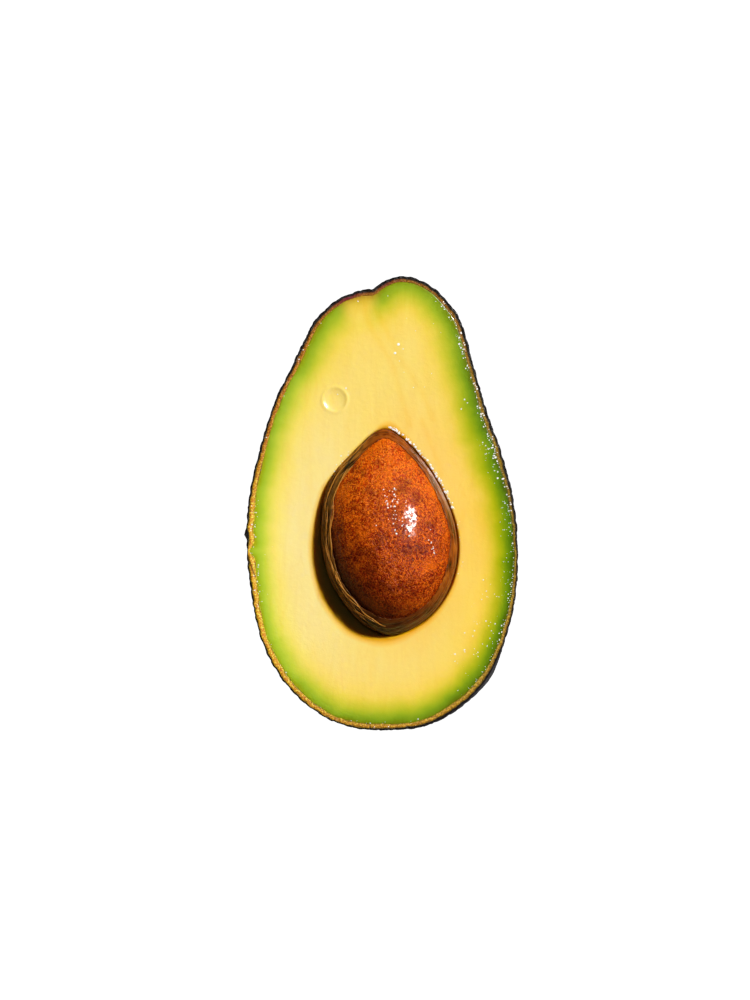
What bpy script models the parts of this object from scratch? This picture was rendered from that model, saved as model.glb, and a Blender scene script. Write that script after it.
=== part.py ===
"""Half of a ripe avocado with its stone, lying on its rounded back with the cut face up.

Four pieces, from the outside in: the peel, a thin shell; the flesh that fills it, with a hollow for the
stone; the papery seed coat, a cup that is torn off level above the cut; and the stone itself.

Frame: metres, +Z up. X runs across the fruit, Y along it towards the stem, and Z = 0 is the surface that
the half lies on. The origin is the centre of the whole half's box, at that surface.

Run it with: blender --background --python part.py
"""

import math
from typing import NamedTuple

import bmesh
import bpy
import numpy as np
from mathutils import Vector

MM = 0.001

# --- Driving dimensions ------------------------------------------------------------------------------
HALF_LENGTH = 55.0 * MM  # stem end to blossom end is twice this
HALF_WIDTH = 32.8 * MM  # across the belly, in the plane of the cut
ROUNDNESS = 0.985  # the depth of a rib below the cut, as a share of its half width
NECK_FULLNESS = 0.07  # how much deeper than that the ribs are at the stem end, as a share
CUT_HEIGHT = 31.2 * MM  # 0.7 mm less than the belly's depth, which is flattened where the half lies

PEEL_WALL = 1.4 * MM
COAT_WALL = 0.5 * MM
FIT_GAP = 0.3 * MM  # between neighbours that touch on the real fruit

STONE_HALF_WIDTH = 15.55 * MM
STONE_HALF_HEIGHT = 15.2 * MM
STONE_HALF_LENGTH = 23.8 * MM
STONE_CENTRE = Vector((1.7 * MM, -6.9 * MM, CUT_HEIGHT))
STONE_LEAN = math.radians(4.5)  # the stone's tip points this far to the left of the stem
STONE_POINT = 0.37  # how much of its width the stone loses towards that tip
STONE_SHOULDER = 3.7  # how late along the stone that narrowing comes

COAT_EDGE = 7.3 * MM  # the torn edge of the seed coat, above the cut face
COAT_EDGE_WAVE = 0.5 * MM  # how far that edge rises and falls
COAT_TIP_DIP = 2.6 * MM  # how much lower it is at the stone's tip

SWELL = 0.8 * MM  # how far the belly bulges out below the cut, at the lower right
SWELL_DEPTH = 6.0 * MM  # how far below the cut that bulge is fullest
SWELL_CENTRE = Vector((0.0, -12.0 * MM))  # its direction is measured round this point
SWELL_DIRECTION = math.radians(-62.0)
SWELL_SPREAD = math.radians(58.0)

# --- Mesh fineness -----------------------------------------------------------------------------------
FRUIT_ROUND, FRUIT_ALONG = 56, 36  # faces round the whole fruit's long axis, and from end to end
STONE_ROUND, STONE_ALONG = 36, 20
COAT_ROUND, COAT_DOWN = 48, 12


class Rib(NamedTuple):
    """A cross-section of the fruit: where it meets the cut face's outline on each side.

    Each point is (across, along), in shares of HALF_WIDTH and HALF_LENGTH.
    """

    right: tuple[float, float]
    left: tuple[float, float]


# From the stem scar, a shallow step at the upper left, round the shoulders and the belly to the blossom
# end. The first and last ribs are single points.
RIBS = (
    Rib((-0.130, 0.945), (-0.130, 0.945)),
    Rib((-0.018, 0.973), (-0.220, 0.925)),
    Rib((0.146, 1.000), (-0.317, 0.902)),
    Rib((0.320, 0.971), (-0.412, 0.858)),
    Rib((0.470, 0.898), (-0.512, 0.789)),
    Rib((0.585, 0.793), (-0.585, 0.702)),
    Rib((0.671, 0.615), (-0.677, 0.589)),
    Rib((0.762, 0.425), (-0.793, 0.444)),
    Rib((0.872, 0.236), (-0.902, 0.236)),
    Rib((0.963, 0.033), (-0.976, 0.033)),
    Rib((1.000, -0.191), (-0.994, -0.191)),
    Rib((0.980, -0.410), (-0.957, -0.409)),
    Rib((0.897, -0.604), (-0.878, -0.611)),
    Rib((0.750, -0.781), (-0.713, -0.785)),
    Rib((0.528, -0.907), (-0.479, -0.914)),
    Rib((0.299, -0.974), (-0.226, -0.980)),
    Rib((0.037, -0.992), (0.037, -0.992)),
)

COLOURS = {
    "peel": (0.035, 0.022, 0.028),
    "flesh": (0.83, 0.70, 0.24),
    "seed_coat": (0.30, 0.15, 0.05),
    "stone": (0.36, 0.10, 0.02),
}
ROUGHNESS = {"peel": 0.45, "flesh": 0.35, "seed_coat": 0.6, "stone": 0.3}


def smooth_through(points: np.ndarray, at: np.ndarray) -> np.ndarray:
    """Points on the Catmull-Rom curve through the given ones; at runs from 0 to 1 along all of them."""
    before = 2 * points[0] - points[1]
    after = 2 * points[-1] - points[-2]
    p = np.vstack([before, points, after])
    place = np.clip(at, 0.0, 1.0) * (len(points) - 1)
    span = np.minimum(place.astype(int), len(points) - 2)
    u = (place - span)[:, None]
    a, b, c, d = p[span], p[span + 1], p[span + 2], p[span + 3]
    return 0.5 * (2 * b + (c - a) * u + (2 * a - 5 * b + 4 * c - d) * u**2 + (3 * b - a - 3 * c + d) * u**3)


def swelling(across: np.ndarray, along: np.ndarray, depth: np.ndarray) -> np.ndarray:
    """How far each point is pushed outwards by the bulge: nothing at the cut, most at SWELL_DEPTH."""
    direction = np.arctan2(along - SWELL_CENTRE.y, across - SWELL_CENTRE.x)
    off = np.clip((direction - SWELL_DIRECTION) / SWELL_SPREAD, -1.0, 1.0)
    below = np.abs(depth) / SWELL_DEPTH
    return SWELL * np.cos(off * math.pi / 2) ** 2 * below * np.exp(1.0 - below)


def fruit_points(end_to_end: np.ndarray, round_axis: np.ndarray) -> np.ndarray:
    """Places on the whole fruit's skin, from 0 to 1 from stem to blossom end, and from 0 (the right
    side of the cut) to pi (its left side) through the belly, or to -pi through the other half.

    Each rib is half an ellipse that hangs between the two sides of the outline.
    """
    scale = np.array([HALF_WIDTH, HALF_LENGTH])
    right = smooth_through(np.array([rib.right for rib in RIBS]) * scale, end_to_end)
    left = smooth_through(np.array([rib.left for rib in RIBS]) * scale, end_to_end)
    middle, half = (right + left) / 2, (right - left) / 2
    flat = middle + half * np.cos(round_axis)[:, None]
    roundness = ROUNDNESS * (1.0 + NECK_FULLNESS * middle[:, 1] / HALF_LENGTH)
    depth = roundness * np.linalg.norm(half, axis=1) * np.sin(round_axis)
    outwards = flat - np.array(SWELL_CENTRE)
    outwards /= np.maximum(np.linalg.norm(outwards, axis=1, keepdims=True), MM)
    flat = flat + outwards * swelling(flat[:, 0], flat[:, 1], depth)[:, None]
    return np.column_stack([flat, CUT_HEIGHT - depth])


def sphere(round_axis: int, along_axis: int) -> bmesh.types.BMesh:
    """A unit sphere of quads and end fans, with its poles on Z."""
    mesh = bmesh.new()
    bmesh.ops.create_uvsphere(mesh, u_segments=round_axis, v_segments=along_axis, radius=1.0)
    return mesh


def read(mesh: bmesh.types.BMesh) -> np.ndarray:
    """The vertices' places, one row each."""
    return np.array([vertex.co for vertex in mesh.verts])


def write(mesh: bmesh.types.BMesh, places: np.ndarray) -> None:
    """Moves the vertices to these places and works their normals out again."""
    for vertex, place in zip(mesh.verts, places, strict=True):
        vertex.co = place
    mesh.normal_update()


def grow(mesh: bmesh.types.BMesh, distance: float) -> None:
    """Moves every vertex along its normal, outwards if the distance is positive."""
    normals = np.array([vertex.normal for vertex in mesh.verts])
    write(mesh, read(mesh) + normals * distance)


def face_out(mesh: bmesh.types.BMesh) -> None:
    """Turns the faces of a closed mesh outwards."""
    bmesh.ops.recalc_face_normals(mesh, faces=mesh.faces)
    mesh.normal_update()


def whole_fruit(inset: float = 0.0) -> bmesh.types.BMesh:
    """The uncut fruit's surface, inset from the skin, flattened where the half lies."""
    mesh = sphere(FRUIT_ROUND, FRUIT_ALONG)
    unit = read(mesh)
    end_to_end = np.arccos(np.clip(unit[:, 2], -1.0, 1.0)) / math.pi
    round_axis = np.arctan2(unit[:, 1], unit[:, 0])
    write(mesh, fruit_points(end_to_end, round_axis))
    face_out(mesh)
    grow(mesh, -inset)
    places = read(mesh)
    places[:, 2] = np.maximum(places[:, 2], inset)
    write(mesh, places)
    return mesh


def stone_shape(unit: np.ndarray) -> np.ndarray:
    """An egg from a unit sphere: its +Y end narrows to a blunt tip, and it leans by STONE_LEAN."""
    taper = 1.0 - STONE_POINT * (0.5 + 0.5 * np.clip(unit[:, 1], -1.0, 1.0)) ** STONE_SHOULDER
    x = unit[:, 0] * taper * STONE_HALF_WIDTH
    z = unit[:, 2] * taper * STONE_HALF_HEIGHT
    y = unit[:, 1] * STONE_HALF_LENGTH
    turned_x = x * math.cos(STONE_LEAN) - y * math.sin(STONE_LEAN)
    turned_y = x * math.sin(STONE_LEAN) + y * math.cos(STONE_LEAN)
    return np.column_stack([turned_x, turned_y, z]) + np.array(STONE_CENTRE)


def egg(distance: float) -> bmesh.types.BMesh:
    """The stone's surface, grown by this distance, with its poles at the tip and the blunt end."""
    mesh = sphere(STONE_ROUND, STONE_ALONG)
    unit = read(mesh)
    write(mesh, stone_shape(np.column_stack([unit[:, 0], unit[:, 2], unit[:, 1]])))
    face_out(mesh)
    grow(mesh, distance)
    return mesh


def coat_cup(distance: float) -> bmesh.types.BMesh:
    """The stone's surface below the coat's torn edge, grown by this distance and open at the top.

    A sphere with its poles on Z is opened at the top. Each ring then slides up or down its meridian,
    so that the topmost lies along the wavy edge.
    """
    mesh = sphere(COAT_ROUND, COAT_DOWN + COAT_DOWN // 3)
    unit = read(mesh)
    rings = np.unique(np.round(unit[:, 2], 5))
    brim = rings[COAT_DOWN]
    spare = [vertex for vertex in mesh.verts if vertex.co.z > brim + 1e-4]
    bmesh.ops.delete(mesh, geom=spare, context="VERTS")
    unit = read(mesh)
    heading = np.arctan2(unit[:, 1], unit[:, 0])
    wave = 0.6 * np.sin(3 * heading + 0.4) + 0.4 * np.sin(7 * heading + 2.0)
    towards_tip = (0.5 + 0.5 * np.sin(heading)) ** 6
    height = COAT_EDGE + COAT_EDGE_WAVE * wave - COAT_TIP_DIP * towards_tip
    edge = height / STONE_HALF_HEIGHT
    from_bottom = np.arccos(np.clip(-unit[:, 2], -1.0, 1.0))
    slid = from_bottom * np.arccos(-edge) / math.acos(-brim)
    flat = np.column_stack([np.cos(heading), np.sin(heading)]) * np.sin(slid)[:, None]
    write(mesh, stone_shape(np.column_stack([flat, -np.cos(slid)])))
    grow(mesh, distance)
    return mesh


def material(name: str) -> bpy.types.Material:
    """A plain Principled material for one piece."""
    made = bpy.data.materials.new(name)
    made.use_nodes = True
    shader = made.node_tree.nodes["Principled BSDF"]
    shader.inputs["Base Color"].default_value = (*COLOURS[name], 1.0)
    shader.inputs["Roughness"].default_value = ROUGHNESS[name]
    shader.inputs["Metallic"].default_value = 0.0
    made.diffuse_color = (*COLOURS[name], 1.0)
    return made


def collection(name: str) -> bpy.types.Collection:
    """A new collection in the scene."""
    made = bpy.data.collections.new(name)
    bpy.context.scene.collection.children.link(made)
    return made


def place(mesh: bmesh.types.BMesh, name: str, group: bpy.types.Collection) -> bpy.types.Object:
    """Turns a finished bmesh into a named, smoothly shaded object in a collection."""
    data = bpy.data.meshes.new(name)
    mesh.to_mesh(data)
    mesh.free()
    data.shade_smooth()
    made = bpy.data.objects.new(name, data)
    group.objects.link(made)
    return made


def cutter(mesh: bmesh.types.BMesh, name: str, group: bpy.types.Collection) -> bpy.types.Object:
    """A shape that only cuts others."""
    made = place(mesh, name, group)
    made.hide_render = True
    made.display_type = "WIRE"
    return made


def cut(piece: bpy.types.Object, tool: bpy.types.Object) -> None:
    """Takes the tool's shape out of the piece."""
    boolean = piece.modifiers.new(f"cut by {tool.name}", "BOOLEAN")
    boolean.operation = "DIFFERENCE"
    boolean.object = tool
    boolean.solver = "EXACT"


def wall(piece: bpy.types.Object, thickness: float, side: float) -> None:
    """Gives a surface a wall: side is -1 for inwards and 1 for outwards."""
    solidify = piece.modifiers.new("wall", "SOLIDIFY")
    solidify.thickness = thickness
    solidify.offset = side
    solidify.use_even_offset = True


def knife(group: bpy.types.Collection) -> bpy.types.Object:
    """A block that takes away everything above the cut face."""
    reach = 1.5 * HALF_LENGTH
    mesh = bmesh.new()
    bmesh.ops.create_cube(mesh, size=2 * reach)
    bmesh.ops.translate(mesh, verts=mesh.verts, vec=(0, 0, CUT_HEIGHT + reach))
    return cutter(mesh, "knife", group)


def make_peel(fruit: bpy.types.Collection, blade: bpy.types.Object) -> None:
    """The peel: the whole fruit's skin with a wall inside it, then cut in half."""
    peel = place(whole_fruit(), "peel", fruit)
    wall(peel, PEEL_WALL, -1.0)
    cut(peel, blade)
    peel.data.materials.append(material("peel"))


def make_flesh(
    fruit: bpy.types.Collection, tools: bpy.types.Collection, blade: bpy.types.Object
) -> None:
    """The flesh: a solid that fills the peel, cut in half, with a hollow for the coated stone."""
    flesh = place(whole_fruit(PEEL_WALL + FIT_GAP), "flesh", fruit)
    hollow = cutter(egg(FIT_GAP + COAT_WALL + FIT_GAP), "stone_hollow", tools)
    cut(flesh, blade)
    cut(flesh, hollow)
    flesh.data.materials.append(material("flesh"))


def make_seed_coat(fruit: bpy.types.Collection) -> None:
    """The papery coat: a thin cup round the stone, torn off level above the cut face."""
    coat = place(coat_cup(FIT_GAP), "seed_coat", fruit)
    wall(coat, COAT_WALL, 1.0)
    coat.data.materials.append(material("seed_coat"))


def make_stone(fruit: bpy.types.Collection) -> None:
    """The stone: an egg that stands half its thickness out of the cut face."""
    stone = place(egg(0.0), "stone", fruit)
    stone.data.materials.append(material("stone"))


def main() -> None:
    """Clears the scene and models the half."""
    for old in list(bpy.data.objects):
        bpy.data.objects.remove(old, do_unlink=True)
    fruit = collection("avocado_half")
    tools = collection("cutters")
    blade = knife(tools)
    make_peel(fruit, blade)
    make_flesh(fruit, tools, blade)
    make_seed_coat(fruit)
    make_stone(fruit)


main()
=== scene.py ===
"""Looks for half of a ripe avocado that lies cut face up, with its stone in place.

The pieces, from the outside in: the pebbled peel with its layered cut rim, the flesh, the torn seed coat
with its loose fibres, the stone, and the juice that stands on the cut face. The juice beads, and the white
dots on the stone, are near-white: a painted highlight that stands in for glints of the lamp. All sizes are
in metres. X runs across the fruit, Y towards its stem end and Z up, out of the cut face.
"""

import logging
import math
from dataclasses import dataclass, field
from enum import Enum
from functools import cached_property
from typing import Any, NamedTuple

import bpy
import numpy as np
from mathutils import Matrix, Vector


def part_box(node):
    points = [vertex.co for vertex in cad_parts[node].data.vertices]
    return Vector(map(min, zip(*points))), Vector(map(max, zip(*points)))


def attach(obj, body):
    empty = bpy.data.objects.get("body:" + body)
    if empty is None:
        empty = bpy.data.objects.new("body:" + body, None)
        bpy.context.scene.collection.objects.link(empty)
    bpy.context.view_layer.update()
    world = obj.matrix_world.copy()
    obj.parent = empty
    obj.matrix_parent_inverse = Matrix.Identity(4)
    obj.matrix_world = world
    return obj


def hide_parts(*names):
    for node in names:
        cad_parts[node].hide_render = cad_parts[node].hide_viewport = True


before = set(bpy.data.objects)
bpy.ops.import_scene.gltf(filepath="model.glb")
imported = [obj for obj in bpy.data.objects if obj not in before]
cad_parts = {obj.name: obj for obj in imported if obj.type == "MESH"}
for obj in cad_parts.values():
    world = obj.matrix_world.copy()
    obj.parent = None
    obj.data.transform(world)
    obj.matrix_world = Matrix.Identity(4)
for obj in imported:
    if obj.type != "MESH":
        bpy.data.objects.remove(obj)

Array = np.ndarray
Plan = tuple[float, float]
Marks = dict[str, Array]
Output = Any  # an output of a shader node, or a constant in its place

MM = 0.001
FULL_TURN = 2 * math.pi
LOG = logging.getLogger("avocado")
FRUIT_GROUP = "avocado_half"
LAMP_WAY = (0.52, 0.36, 0.775)  # from the fruit towards the lamp
# Places on the fruit, in millimetres.
SLICK = (25.0, -40.5)  # the middle of the smooth patch at the lower right of the peel
KNOB = (-32.9, -7.2)  # where the left rim has a thick dark crust
KNOB_PEBBLE = (-32.6, -7.2, 31.0)  # the raised pebble beside it
STEM_SCAR = (-5.6, 50.5)  # the middle of the tan flesh at the stem end


class Slot(Enum):
    """The part of the fruit that a piece shows."""

    PEEL = "peel"
    FLESH = "flesh"
    SEED_COAT = "seed_coat"
    STONE = "stone"


class Blend(Enum):
    """How one colour is laid over another."""

    MIX = "MIX"
    MULTIPLY = "MULTIPLY"
    OVERLAY = "OVERLAY"


class Around(Enum):
    """Values at every 45 degrees round the middle of the fruit, anticlockwise from +X."""

    SHADE = (1.0, 0.92, 0.42, 0.22, 0.0, 0.0, 0.64, 0.92)  # 1 where the flesh is darker green at the peel
    DEEPER = (1.0, 0.86, 0.90, 1.0, 1.12, 1.04, 1.05, 1.14)  # how much sooner the green fades inwards
    GOLD = (0.75, 0.0, 1.0, 0.1, 0.0, 0.0, 0.6, 0.9)  # where the flesh is a deeper yellow
    OLIVE = (1.0, 0.85, 0.7, 0.3, 0.0, 0.0, 0.45, 0.7)  # where the peel's cut rim is a dark olive
    RUST = (0.1, 0.1, 0.9, 0.75, 0.0, 0.1, 0.3, 0.1)  # where the rim is browner
    CRUST = (0.4, 0.5, 0.9, 0.45, 0.0, 0.0, 0.1, 0.1)  # where the rim's black outer layer is thicker


# --- Small mathematics -------------------------------------------------------------------------------
def smooth_through(points: Array, at: Array) -> Array:
    """Points on the Catmull-Rom curve through evenly numbered points.

    Args:
        points: One row for each point that the curve passes through.
        at: Places along the whole curve, from 0 to 1.

    Returns:
        One row for each place.
    """
    p = np.concatenate([[2 * points[0] - points[1]], points, [2 * points[-1] - points[-2]]])
    place = np.clip(at, 0.0, 1.0) * (len(points) - 1)
    span = np.minimum(place.astype(int), len(points) - 2)
    u = place - span
    if points.ndim > 1:
        u = u[..., None]
    a, b, c, d = p[span], p[span + 1], p[span + 2], p[span + 3]
    return 0.5 * (2 * b + (c - a) * u + (2 * a - 5 * b + 4 * c - d) * u**2 + (3 * b - a - 3 * c + d) * u**3)


def ease(value: Array, low: float, high: float) -> Array:
    """Smoothstep: 0 below low, 1 above high, and an S-shaped rise between them."""
    t = np.clip((value - low) / (high - low), 0.0, 1.0)
    return t * t * (3 - 2 * t)


def bell(value: Array, centre: float, width: float) -> Array:
    """A Gaussian bump of height 1 at the centre."""
    return np.exp(-(((value - centre) / width) ** 2))


def reach(points: Array, centre: tuple[float, ...], stretch: Any = 1.0) -> Array:
    """The distance to a centre in millimetres, in plan or in space; stretch divides each axis."""
    return np.linalg.norm((points[..., : len(centre)] - np.array(centre) * MM) / stretch, axis=-1)


def patch(points: Array, centre: tuple[float, ...], radius: float, stretch: Any = 1.0) -> Array:
    """A soft patch: 1 at a centre and a Gaussian fall with the distance, both in millimetres."""
    return bell(reach(points, centre, stretch), 0, radius * MM)


def turn_between(angle: Array, other: float) -> Array:
    """The signed angle from other to angle, in radians, between -pi and pi."""
    return (angle - other + math.pi) % FULL_TURN - math.pi


def inward(line: Array) -> Array:
    """Unit directions in plan to the left of a closed line's points: the direction along, turned."""
    along = (np.roll(line, -1, axis=0) - np.roll(line, 1, axis=0))[:, :2]
    return np.stack([-along[:, 1], along[:, 0]], axis=1) / np.linalg.norm(along, axis=1, keepdims=True)


def by_bearing(points: Array, table: Around) -> Array:
    """A table's values at the points' bearings, with an S-shaped blend between its entries.

    Args:
        points: Places, in plan or in space.
        table: The values round the fruit.

    Returns:
        One value for each place.
    """
    turn = (np.degrees(np.arctan2(points[..., 1] + 5 * MM, points[..., 0])) % 360) / 45
    low = np.floor(turn).astype(int)
    share = ease(turn - low, 0.0, 1.0)
    values = np.array(table.value)
    return values[low % 8] * (1 - share) + values[(low + 1) % 8] * share


def chance(cell: Array, seed: int) -> Array:
    """Repeatable numbers from 0 to 1, one for each whole-number cell (x, y, z): a mixed integer hash.

    Args:
        cell: Cells, with three whole numbers on the last axis.
        seed: Picks the series.

    Returns:
        One number for each cell.
    """
    c = cell.astype(np.int64)
    h = c[..., 0] * 374761393 + c[..., 1] * 668265263 + c[..., 2] * 1274126177 + seed * 982451653
    h = ((h ^ (h >> 13)) * 1103515245) & 0xFFFFFFFF
    h = ((h ^ (h >> 15)) * 2246822519) & 0xFFFFFFFF
    return ((h ^ (h >> 16)) & 0xFFFFFF) / float(0xFFFFFF)


def lots(count: int, second: int = 0, third: int = 0) -> Array:
    """Cells for chance: one for each of count things, with two more numbers that pick the series."""
    return np.stack([np.arange(count), np.full(count, second), np.full(count, third)], axis=-1)


def clouds(points: Array, size: float, seed: int, octaves: int = 3) -> Array:
    """Soft noise between about -1 and 1: random numbers on a lattice, blended with an S-curve between
    its corners, and summed over octaves that each halve the size and the strength.

    Args:
        points: Places, with x, y and z on the last axis.
        size: The width of the largest blobs.
        seed: Picks the pattern.
        octaves: How many layers are summed.

    Returns:
        One value for each place.
    """
    total = np.zeros(points.shape[:-1])
    for octave in range(octaves):
        p = points / (size * 0.5**octave)
        base = np.floor(p)
        f = p - base
        f = f * f * (3 - 2 * f)
        layer = np.zeros_like(total)
        for corner in np.ndindex(2, 2, 2):
            weight = np.prod(np.where(np.array(corner) == 1, f, 1 - f), axis=-1)
            layer += weight * chance(base + np.array(corner), seed + 31 * octave)
        total += (2 * layer - 1) * 0.5**octave
    return total


def cobbles(points: Array, size: float, seed: int) -> tuple[Array, Array]:
    """Cellular noise: the distances to the nearest and the next nearest of randomly placed seeds.

    Args:
        points: Places, with x, y and z on the last axis.
        size: The usual distance between seeds.
        seed: Picks the pattern.

    Returns:
        Both distances, in units of size.
    """
    p = points / size
    base = np.floor(p)
    first = np.full(points.shape[:-1], 9.0)
    second = first.copy()
    for step in np.ndindex(3, 3, 3):
        cell = base + np.array(step) - 1
        spot = cell + np.stack([chance(cell, seed + axis) for axis in range(3)], axis=-1)
        distance = np.linalg.norm(spot - p, axis=-1)
        second = np.minimum(second, np.maximum(first, distance))
        first = np.minimum(first, distance)
    return first, second


# --- Meshes ------------------------------------------------------------------------------------------
def ring_faces(rows: int, around: int) -> tuple[Array, Array]:
    """Quads between closed rings, and the triangles where the first and last rings are single points.

    Args:
        rows: How many rings there are.
        around: How many points each ring has.

    Returns:
        The quads and the triangles, as numbers of the points.
    """
    number = np.arange(rows * around).reshape(rows, around)
    number[0], number[-1] = number[0, 0], number[-1, 0]
    a, b = number[:-1], np.roll(number, -1, axis=1)[:-1]
    c, d = np.roll(number, -1, axis=1)[1:], number[1:]
    quads = np.stack([a, b, c, d], axis=-1)[1:-1].reshape(-1, 4)
    ends = [np.stack([a[0], c[0], d[0]], axis=-1), np.stack([a[-1], b[-1], d[-1]], axis=-1)]
    return quads, np.concatenate(ends)


def fruit_group() -> bpy.types.Collection:
    """The collection that holds every piece of the fruit.

    Returns:
        The collection, which the first call makes.
    """
    found = bpy.data.collections.get(FRUIT_GROUP)
    if found is None:
        found = bpy.data.collections.new(FRUIT_GROUP)
        bpy.context.scene.collection.children.link(found)
    return found


def add_piece(
    name: str, rows: Array, marks: Marks, skin: bpy.types.Material, slot: Slot, *nodes: str
) -> None:
    """Makes one piece of closed surfaces with their faces outwards, and hangs it on the fruit's body.

    Args:
        name: The piece's name.
        rows: Places, shaped (rings, points round each ring, 3), or (bodies, rings, points, 3). Each
            body's first and last rings are its poles.
        marks: Named numbers for each place, kept as attributes for the material to read.
        skin: Its material.
        slot: The part of the fruit that it shows. It is not used.
        nodes: The CAD nodes that it stands for.
    """
    rows = rows.reshape(-1, *rows.shape[-3:])
    count, rings, around = rows.shape[:3]
    quads, tris = ring_faces(rings, around)
    corner = rows[0].reshape(-1, 3)[np.concatenate([quads[:, :3], quads[:, [0, 2, 3]], tris])]
    a, b, c = (corner[:, number] - corner[0, 0] for number in range(3))
    if np.einsum("ij,ij->i", a, np.cross(b, c)).sum() < 0:
        quads, tris = quads[:, ::-1], tris[:, ::-1]
    shift = (np.arange(count) * rings * around)[:, None, None]
    quads, tris = (quads[None] + shift).reshape(-1, 4), (tris[None] + shift).reshape(-1, 3)
    used, compact = np.unique(np.concatenate([quads.ravel(), tris.ravel()]), return_inverse=True)
    compact = compact.ravel()
    faces = compact[: quads.size].reshape(-1, 4).tolist() + compact[quads.size :].reshape(-1, 3).tolist()
    mesh = bpy.data.meshes.new(name)
    mesh.from_pydata(rows.reshape(-1, 3)[used], [], faces)
    for key, value in marks.items():
        kept = value.reshape(-1)[used].astype(np.float32)
        mesh.attributes.new(key, "FLOAT", "POINT").data.foreach_set("value", kept)
    mesh.shade_smooth()
    mesh.materials.append(skin)
    piece = bpy.data.objects.new(name, mesh)
    fruit_group().objects.link(piece)
    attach(piece, "root")
    if nodes:
        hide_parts(*nodes)
    LOG.info("%s: %d faces", name, len(faces))


# --- Shader building ---------------------------------------------------------------------------------
def tint(code: str) -> tuple[float, float, float]:
    """A colour for a shader from its six-figure screen code: each channel is made linear.

    Args:
        code: Two hexadecimal figures for each of red, green and blue.

    Returns:
        The linear colour.
    """
    channel = [int(code[i : i + 2], 16) / 255 for i in (0, 2, 4)]
    r, g, b = (c / 12.92 if c <= 0.04045 else ((c + 0.055) / 1.055) ** 2.4 for c in channel)
    return (r, g, b)


@dataclass
class Graph:
    """A node tree and short ways to add nodes to it."""

    tree: bpy.types.NodeTree

    def add(self, kind: str, inputs: dict[Any, Any] | None = None, **settings: Any) -> bpy.types.Node:
        """Adds a node.

        Args:
            kind: The node's type name, without "ShaderNode".
            inputs: Socket name or number to a constant, or to another node's output.
            settings: The node's own properties.

        Returns:
            The new node.
        """
        node = self.tree.nodes.new("ShaderNode" + kind)
        for key, value in settings.items():
            setattr(node, key, value)
        for key, value in (inputs or {}).items():
            self.put(node.inputs[key], value)
        return node

    def put(self, socket: bpy.types.NodeSocket, value: Output) -> None:
        """Links an output to the socket, or sets the socket's own value.

        Args:
            socket: The input to feed.
            value: An output, or a number, colour or vector.
        """
        if isinstance(value, bpy.types.NodeSocket):
            self.tree.links.new(value, socket)
        elif socket.type == "RGBA":
            socket.default_value = (*value[:3], 1.0)
        else:
            socket.default_value = value

    def mark(self, name: str) -> Output:
        """A number that the mesh carries on its points."""
        return self.add("Attribute", attribute_name=name).outputs["Fac"]

    def math(self, operation: str, *values: Output, clamp: bool = False) -> Output:
        """One step of arithmetic, whose result may be kept between 0 and 1."""
        return self.add("Math", dict(enumerate(values)), operation=operation, use_clamp=clamp).outputs[0]

    def times(self, first: Output, *others: Output) -> Output:
        """The product of two or more values.

        Args:
            first: The first value.
            others: The values to multiply it by.

        Returns:
            The output of the last step.
        """
        for other in others:
            first = self.math("MULTIPLY", first, other)
        return first

    def span(self, value: Output, low: float, high: float, to: Plan = (0, 1)) -> Output:
        """Maps the stretch from low to high smoothly onto another."""
        inputs = {"Value": value, "From Min": low, "From Max": high, "To Min": to[0], "To Max": to[1]}
        return self.add("MapRange", inputs, interpolation_type="SMOOTHSTEP").outputs["Result"]

    def mix(self, share: Output, first: Output, second: Output, blend: Blend = Blend.MIX) -> Output:
        """Mixes two colours; share is how much of the second there is."""
        inputs = {0: share, 6: first, 7: second}
        return self.add("Mix", inputs, data_type="RGBA", blend_type=blend.value).outputs[2]

    def glaze(self, skin: Output, code: str, *shares: Output, blend: Blend = Blend.MIX) -> Output:
        """Lays an even colour over another; how much is the product of the shares."""
        return self.mix(self.times(*shares), skin, tint(code), blend)

    def ramp(self, value: Output, stops: dict[float, str]) -> Output:
        """Colours along a scale from 0 to 1, given as stop to screen code.

        Args:
            value: The place on the scale.
            stops: Stops from 0 to 1, each with its screen code.

        Returns:
            The colour's output.
        """
        node = self.add("ValToRGB", {"Fac": value})
        band = node.color_ramp
        while len(band.elements) < len(stops):
            band.elements.new(0.5)
        for element, (stop, code) in zip(band.elements, sorted(stops.items()), strict=True):
            element.position = stop
            element.color = (*tint(code), 1.0)
        return node.outputs["Color"]

    def noise(self, place: Output, scale: Output, detail: Output, distortion: Output = 0.0) -> Output:
        """Fractal noise from 0 to 1."""
        inputs = {"Vector": place, "Scale": scale, "Detail": detail, "Distortion": distortion}
        return self.add("TexNoise", inputs).outputs["Fac"]

    def stretch(self, place: Output, scale: tuple[float, float, float]) -> Output:
        """Places multiplied by a scale for each axis."""
        return self.add("Mapping", {"Vector": place, "Scale": scale}, vector_type="POINT").outputs[0]

    def bump(self, height: Output, strength: Output, distance: Output) -> Output:
        """The normal of a surface with this height."""
        inputs = {"Strength": strength, "Distance": distance, "Height": height}
        return self.add("Bump", inputs).outputs["Normal"]

    def effect(self, tree: bpy.types.NodeTree, *values: Output) -> Output:
        """The result of a shared effect, whose values are given in the order of its sockets."""
        return self.add("Group", dict(enumerate(values)), node_tree=tree).outputs[0]


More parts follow.
